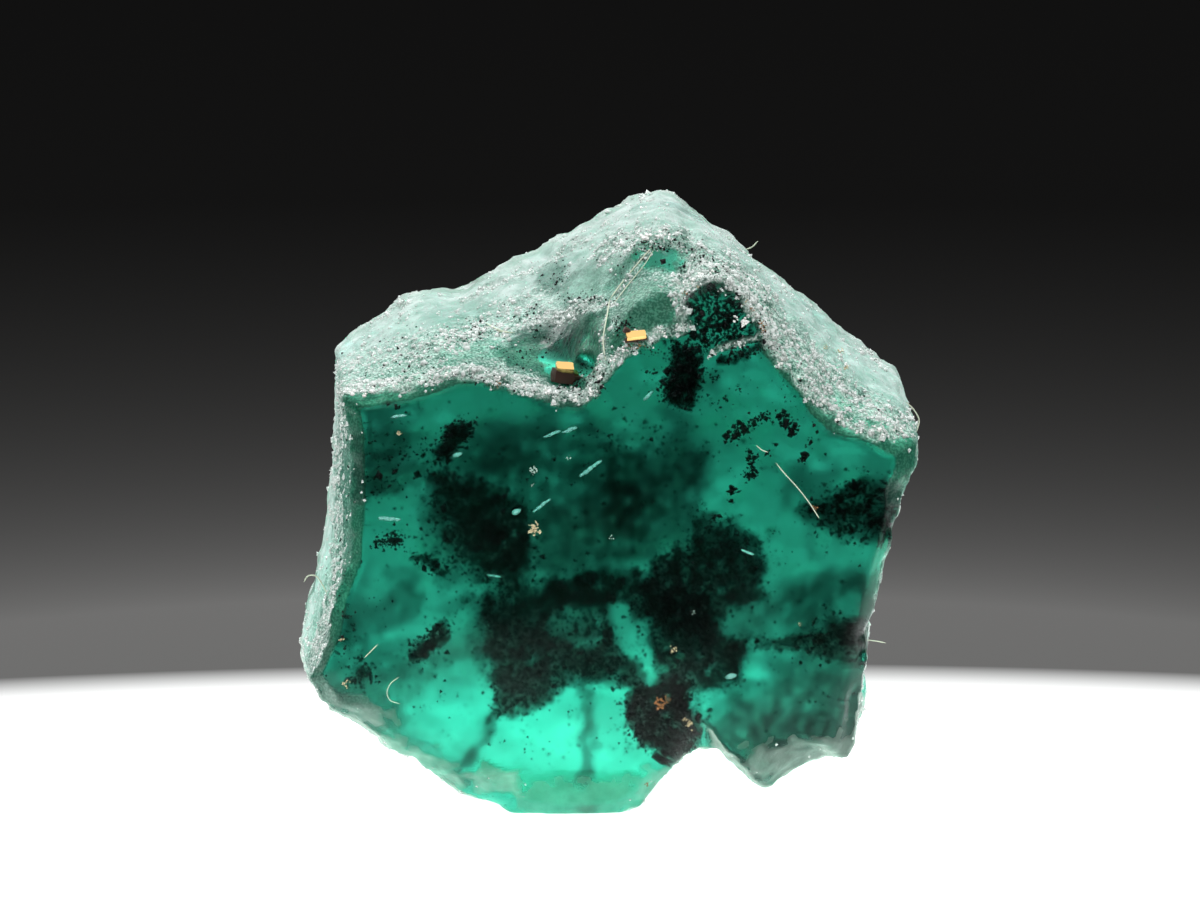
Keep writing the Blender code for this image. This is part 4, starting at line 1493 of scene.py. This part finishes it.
def add_floor():
    """A pale floor whose far edge fades out behind the stone: a glowing disc round the stone, and past it a base colour
    painted darker with distance as a painted falloff of light.
    """
    mesh = bmesh.new()
    bmesh.ops.create_circle(mesh, cap_ends=True, segments=96, radius=112 * MM)
    floor = mesh_object("floor", mesh)
    floor.location.z = -0.004 * MM
    material = principled("floor", (0.9, 0.9, 0.9), 0.85, Specular_IOR_Level=0.0)
    tree = material.node_tree
    place = tree.nodes.new("ShaderNodeTexCoord")
    middle = tree.nodes.new("ShaderNodeVectorMath")
    middle.operation = "LENGTH"
    tree.links.new(place.outputs["Object"], middle.inputs[0])
    from_disc = tree.nodes.new("ShaderNodeVectorMath")
    from_disc.operation = "DISTANCE"
    from_disc.inputs[1].default_value = (0, -1.1 * MM, 0)
    narrowed = tree.nodes.new("ShaderNodeVectorMath")
    narrowed.operation = "MULTIPLY"
    narrowed.inputs[1].default_value = (0.55, 1, 1)
    tree.links.new(place.outputs["Object"], narrowed.inputs[0])
    tree.links.new(narrowed.outputs["Vector"], from_disc.inputs[0])
    near = ranged(tree, from_disc.outputs["Value"], 5.0 * MM, 7.6 * MM, 0, 1)
    # Painted falloff of light: past the disc the floor's colour darkens with the inverse square of the distance from
    # the middle.
    painted_light_falloff = tree.nodes.new("ShaderNodeMath")
    painted_light_falloff.operation = "POWER"
    tree.links.new(ranged(tree, middle.outputs["Value"], 0, 53 * MM, 0, 53 / 11), painted_light_falloff.inputs[0])
    painted_light_falloff.inputs[1].default_value = -2
    dark = mixed(tree, painted_light_falloff.outputs["Value"], (0, 0, 0), (0.096, 0.094, 0.091))
    colour = mixed(tree, near, (0.92, 0.92, 0.91), dark)
    shader = tree.nodes["Principled BSDF"]
    tree.links.new(colour, shader.inputs["Base Color"])
    glow = mixed(tree, near, (1.0, 1.0, 0.99), (0.0, 0.0, 0.0))
    tree.links.new(glow, shader.inputs["Emission Color"])
    shader.inputs["Emission Strength"].default_value = 0.9
    floor.data.materials.append(material)


def add_lamp(name, place, size, radiance):
    """A soft square lamp that looks at the stone."""
    data = bpy.data.lights.new(name, "AREA")
    data.size = size * MM
    data.energy = radiance * math.pi * (size * MM) ** 2
    lamp = bpy.data.objects.new(name, data)
    middle = Vector((0, 0, AXIS_HEIGHT))
    lamp.location = Vector(place) * MM
    lamp.rotation_euler = (middle - Vector(place)).to_track_quat("-Z", "Y").to_euler()
    bpy.context.scene.collection.objects.link(lamp)


# How far the soft light's lower edge dips behind the stone, in degrees
SKY_TILT = 6.0


def add_world():
    """Soft light from above over a dark surrounding."""
    world = bpy.data.worlds.new("studio")
    bpy.context.scene.world = world
    world.use_nodes = True
    tree = world.node_tree
    place = tree.nodes.new("ShaderNodeTexCoord")
    height = tree.nodes.new("ShaderNodeVectorMath")
    height.operation = "DOT_PRODUCT"
    tilt = math.radians(SKY_TILT)
    height.inputs[1].default_value = (0, math.sin(tilt), math.cos(tilt))
    tree.links.new(place.outputs["Generated"], height.inputs[0])
    ramp = tree.nodes.new("ShaderNodeValToRGB")
    shifted = tree.nodes.new("ShaderNodeMapRange")
    shifted.inputs["From Min"].default_value = -1
    shifted.inputs["From Max"].default_value = 1
    tree.links.new(height.outputs["Value"], shifted.inputs["Value"])
    tree.links.new(shifted.outputs["Result"], ramp.inputs["Fac"])
    stops = (
        (-90, (0.004, 0.004, 0.004)),
        (4.0, (0.004, 0.0045, 0.004)),
        (20.0, (0.65, 0.65, 0.65)),
        (90, (0.85, 0.87, 0.9)),
    )
    ramp.color_ramp.elements[0].position = 0
    ramp.color_ramp.elements[1].position = 1
    for index, (elevation, colour) in enumerate(stops):
        at = (math.sin(math.radians(elevation)) + 1) / 2
        if index in (0, len(stops) - 1):
            element = ramp.color_ramp.elements[0 if index == 0 else -1]
        else:
            element = ramp.color_ramp.elements.new(at)
        element.color = (*colour, 1)
    background = tree.nodes["Background"]
    tree.links.new(ramp.outputs["Color"], background.inputs["Color"])
    background.inputs["Strength"].default_value = 1.85


def main():
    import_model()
    add_camera()
    add_floor()
    add_world()
    add_lamp("back_lamp", (-28, 40, 52), 22, 10)
    add_lamp("top_lamp", (22, -18, 66), 14, 9)
    bpy.context.scene.view_settings.view_transform = "Standard"
    body = crystal_body()
    print("body triangles", sum(len(polygon.vertices) - 2 for polygon in body.data.polygons))
    tree = BVHTree.FromPolygons(
        [vertex.co for vertex in body.data.vertices],
        [polygon.vertices for polygon in body.data.polygons],
    )
    carbon = principled("carbon", (0.004, 0.004, 0.004), 0.5, Specular_IOR_Level=0.15)
    # The crumbs in the pyrite's pit and under the ledges are painted shade.
    for piece in (*carbon_pieces(tree), crumbs_and_painted_shade(tree)):
        finish_piece(piece, carbon)
    smoke = smoke_material()
    for piece in carbon_smoke(tree):
        finish_piece(piece, smoke)
    grain = principled("crust_grain", (0.90, 0.97, 0.92), 0.10, Transmission_Weight=0.35, IOR=BERYL_IOR)
    finish_piece(crust_grains(body), grain)
    gold = principled("pyrite", (0.68, 0.42, 0.15), 0.24, Metallic=1.0)
    finish_piece(pyrite_cubes("pyrite_gold", GOLD), gold)
    # The gold is the pyrite's own colour; the dark boxes are its painted shade.
    painted_shade_of_pyrite = principled("painted_shade_of_pyrite", (0.055, 0.026, 0.018), 0.45, Specular_IOR_Level=0.3)
    finish_piece(pyrite_cubes("pyrite_tarnished", PYRITE_PAINTED_SHADE), painted_shade_of_pyrite)
    # The fractures' pale cyan colour is a painted glint, not a mirror.
    painted_glint = principled("fracture", (0.50, 0.95, 0.88), 0.3)
    finish_piece(glints(tree), painted_glint)
    finish_piece(fibres("lint_fibres", LINT, tree), principled("lint", (0.62, 0.68, 0.52), 0.7))
    # The beads' near-white colour is partly the crust's own and partly painted highlight.
    finish_piece(beads_and_painted_highlights(tree), principled("bead_and_painted_highlight", (0.95, 0.95, 0.90), 0.15))
    finish_piece(growth_lines(tree), principled("growth_line", (0.02, 0.13, 0.09), 0.4))
    dust_colours = {
        "dust_tan": (0.62, 0.52, 0.32),
        "dust_rust": (0.35, 0.16, 0.06),
        "dust_pale": (0.42, 0.58, 0.50),
    }
    for piece in dust_pieces(tree):
        finish_piece(piece, principled(piece.name, dust_colours[piece.name], 0.8))
    finish_piece(body, emerald_glass())
    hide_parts("emerald_crystal")
    for obj in bpy.context.scene.objects:
        if obj.type == "MESH":
            print("triangles", obj.name, sum(len(polygon.vertices) - 2 for polygon in obj.data.polygons))
    scene = bpy.context.scene
    scene.cycles.transmission_bounces = 8
    scene.cycles.max_bounces = 12
    scene.cycles.transparent_max_bounces = 16


main()
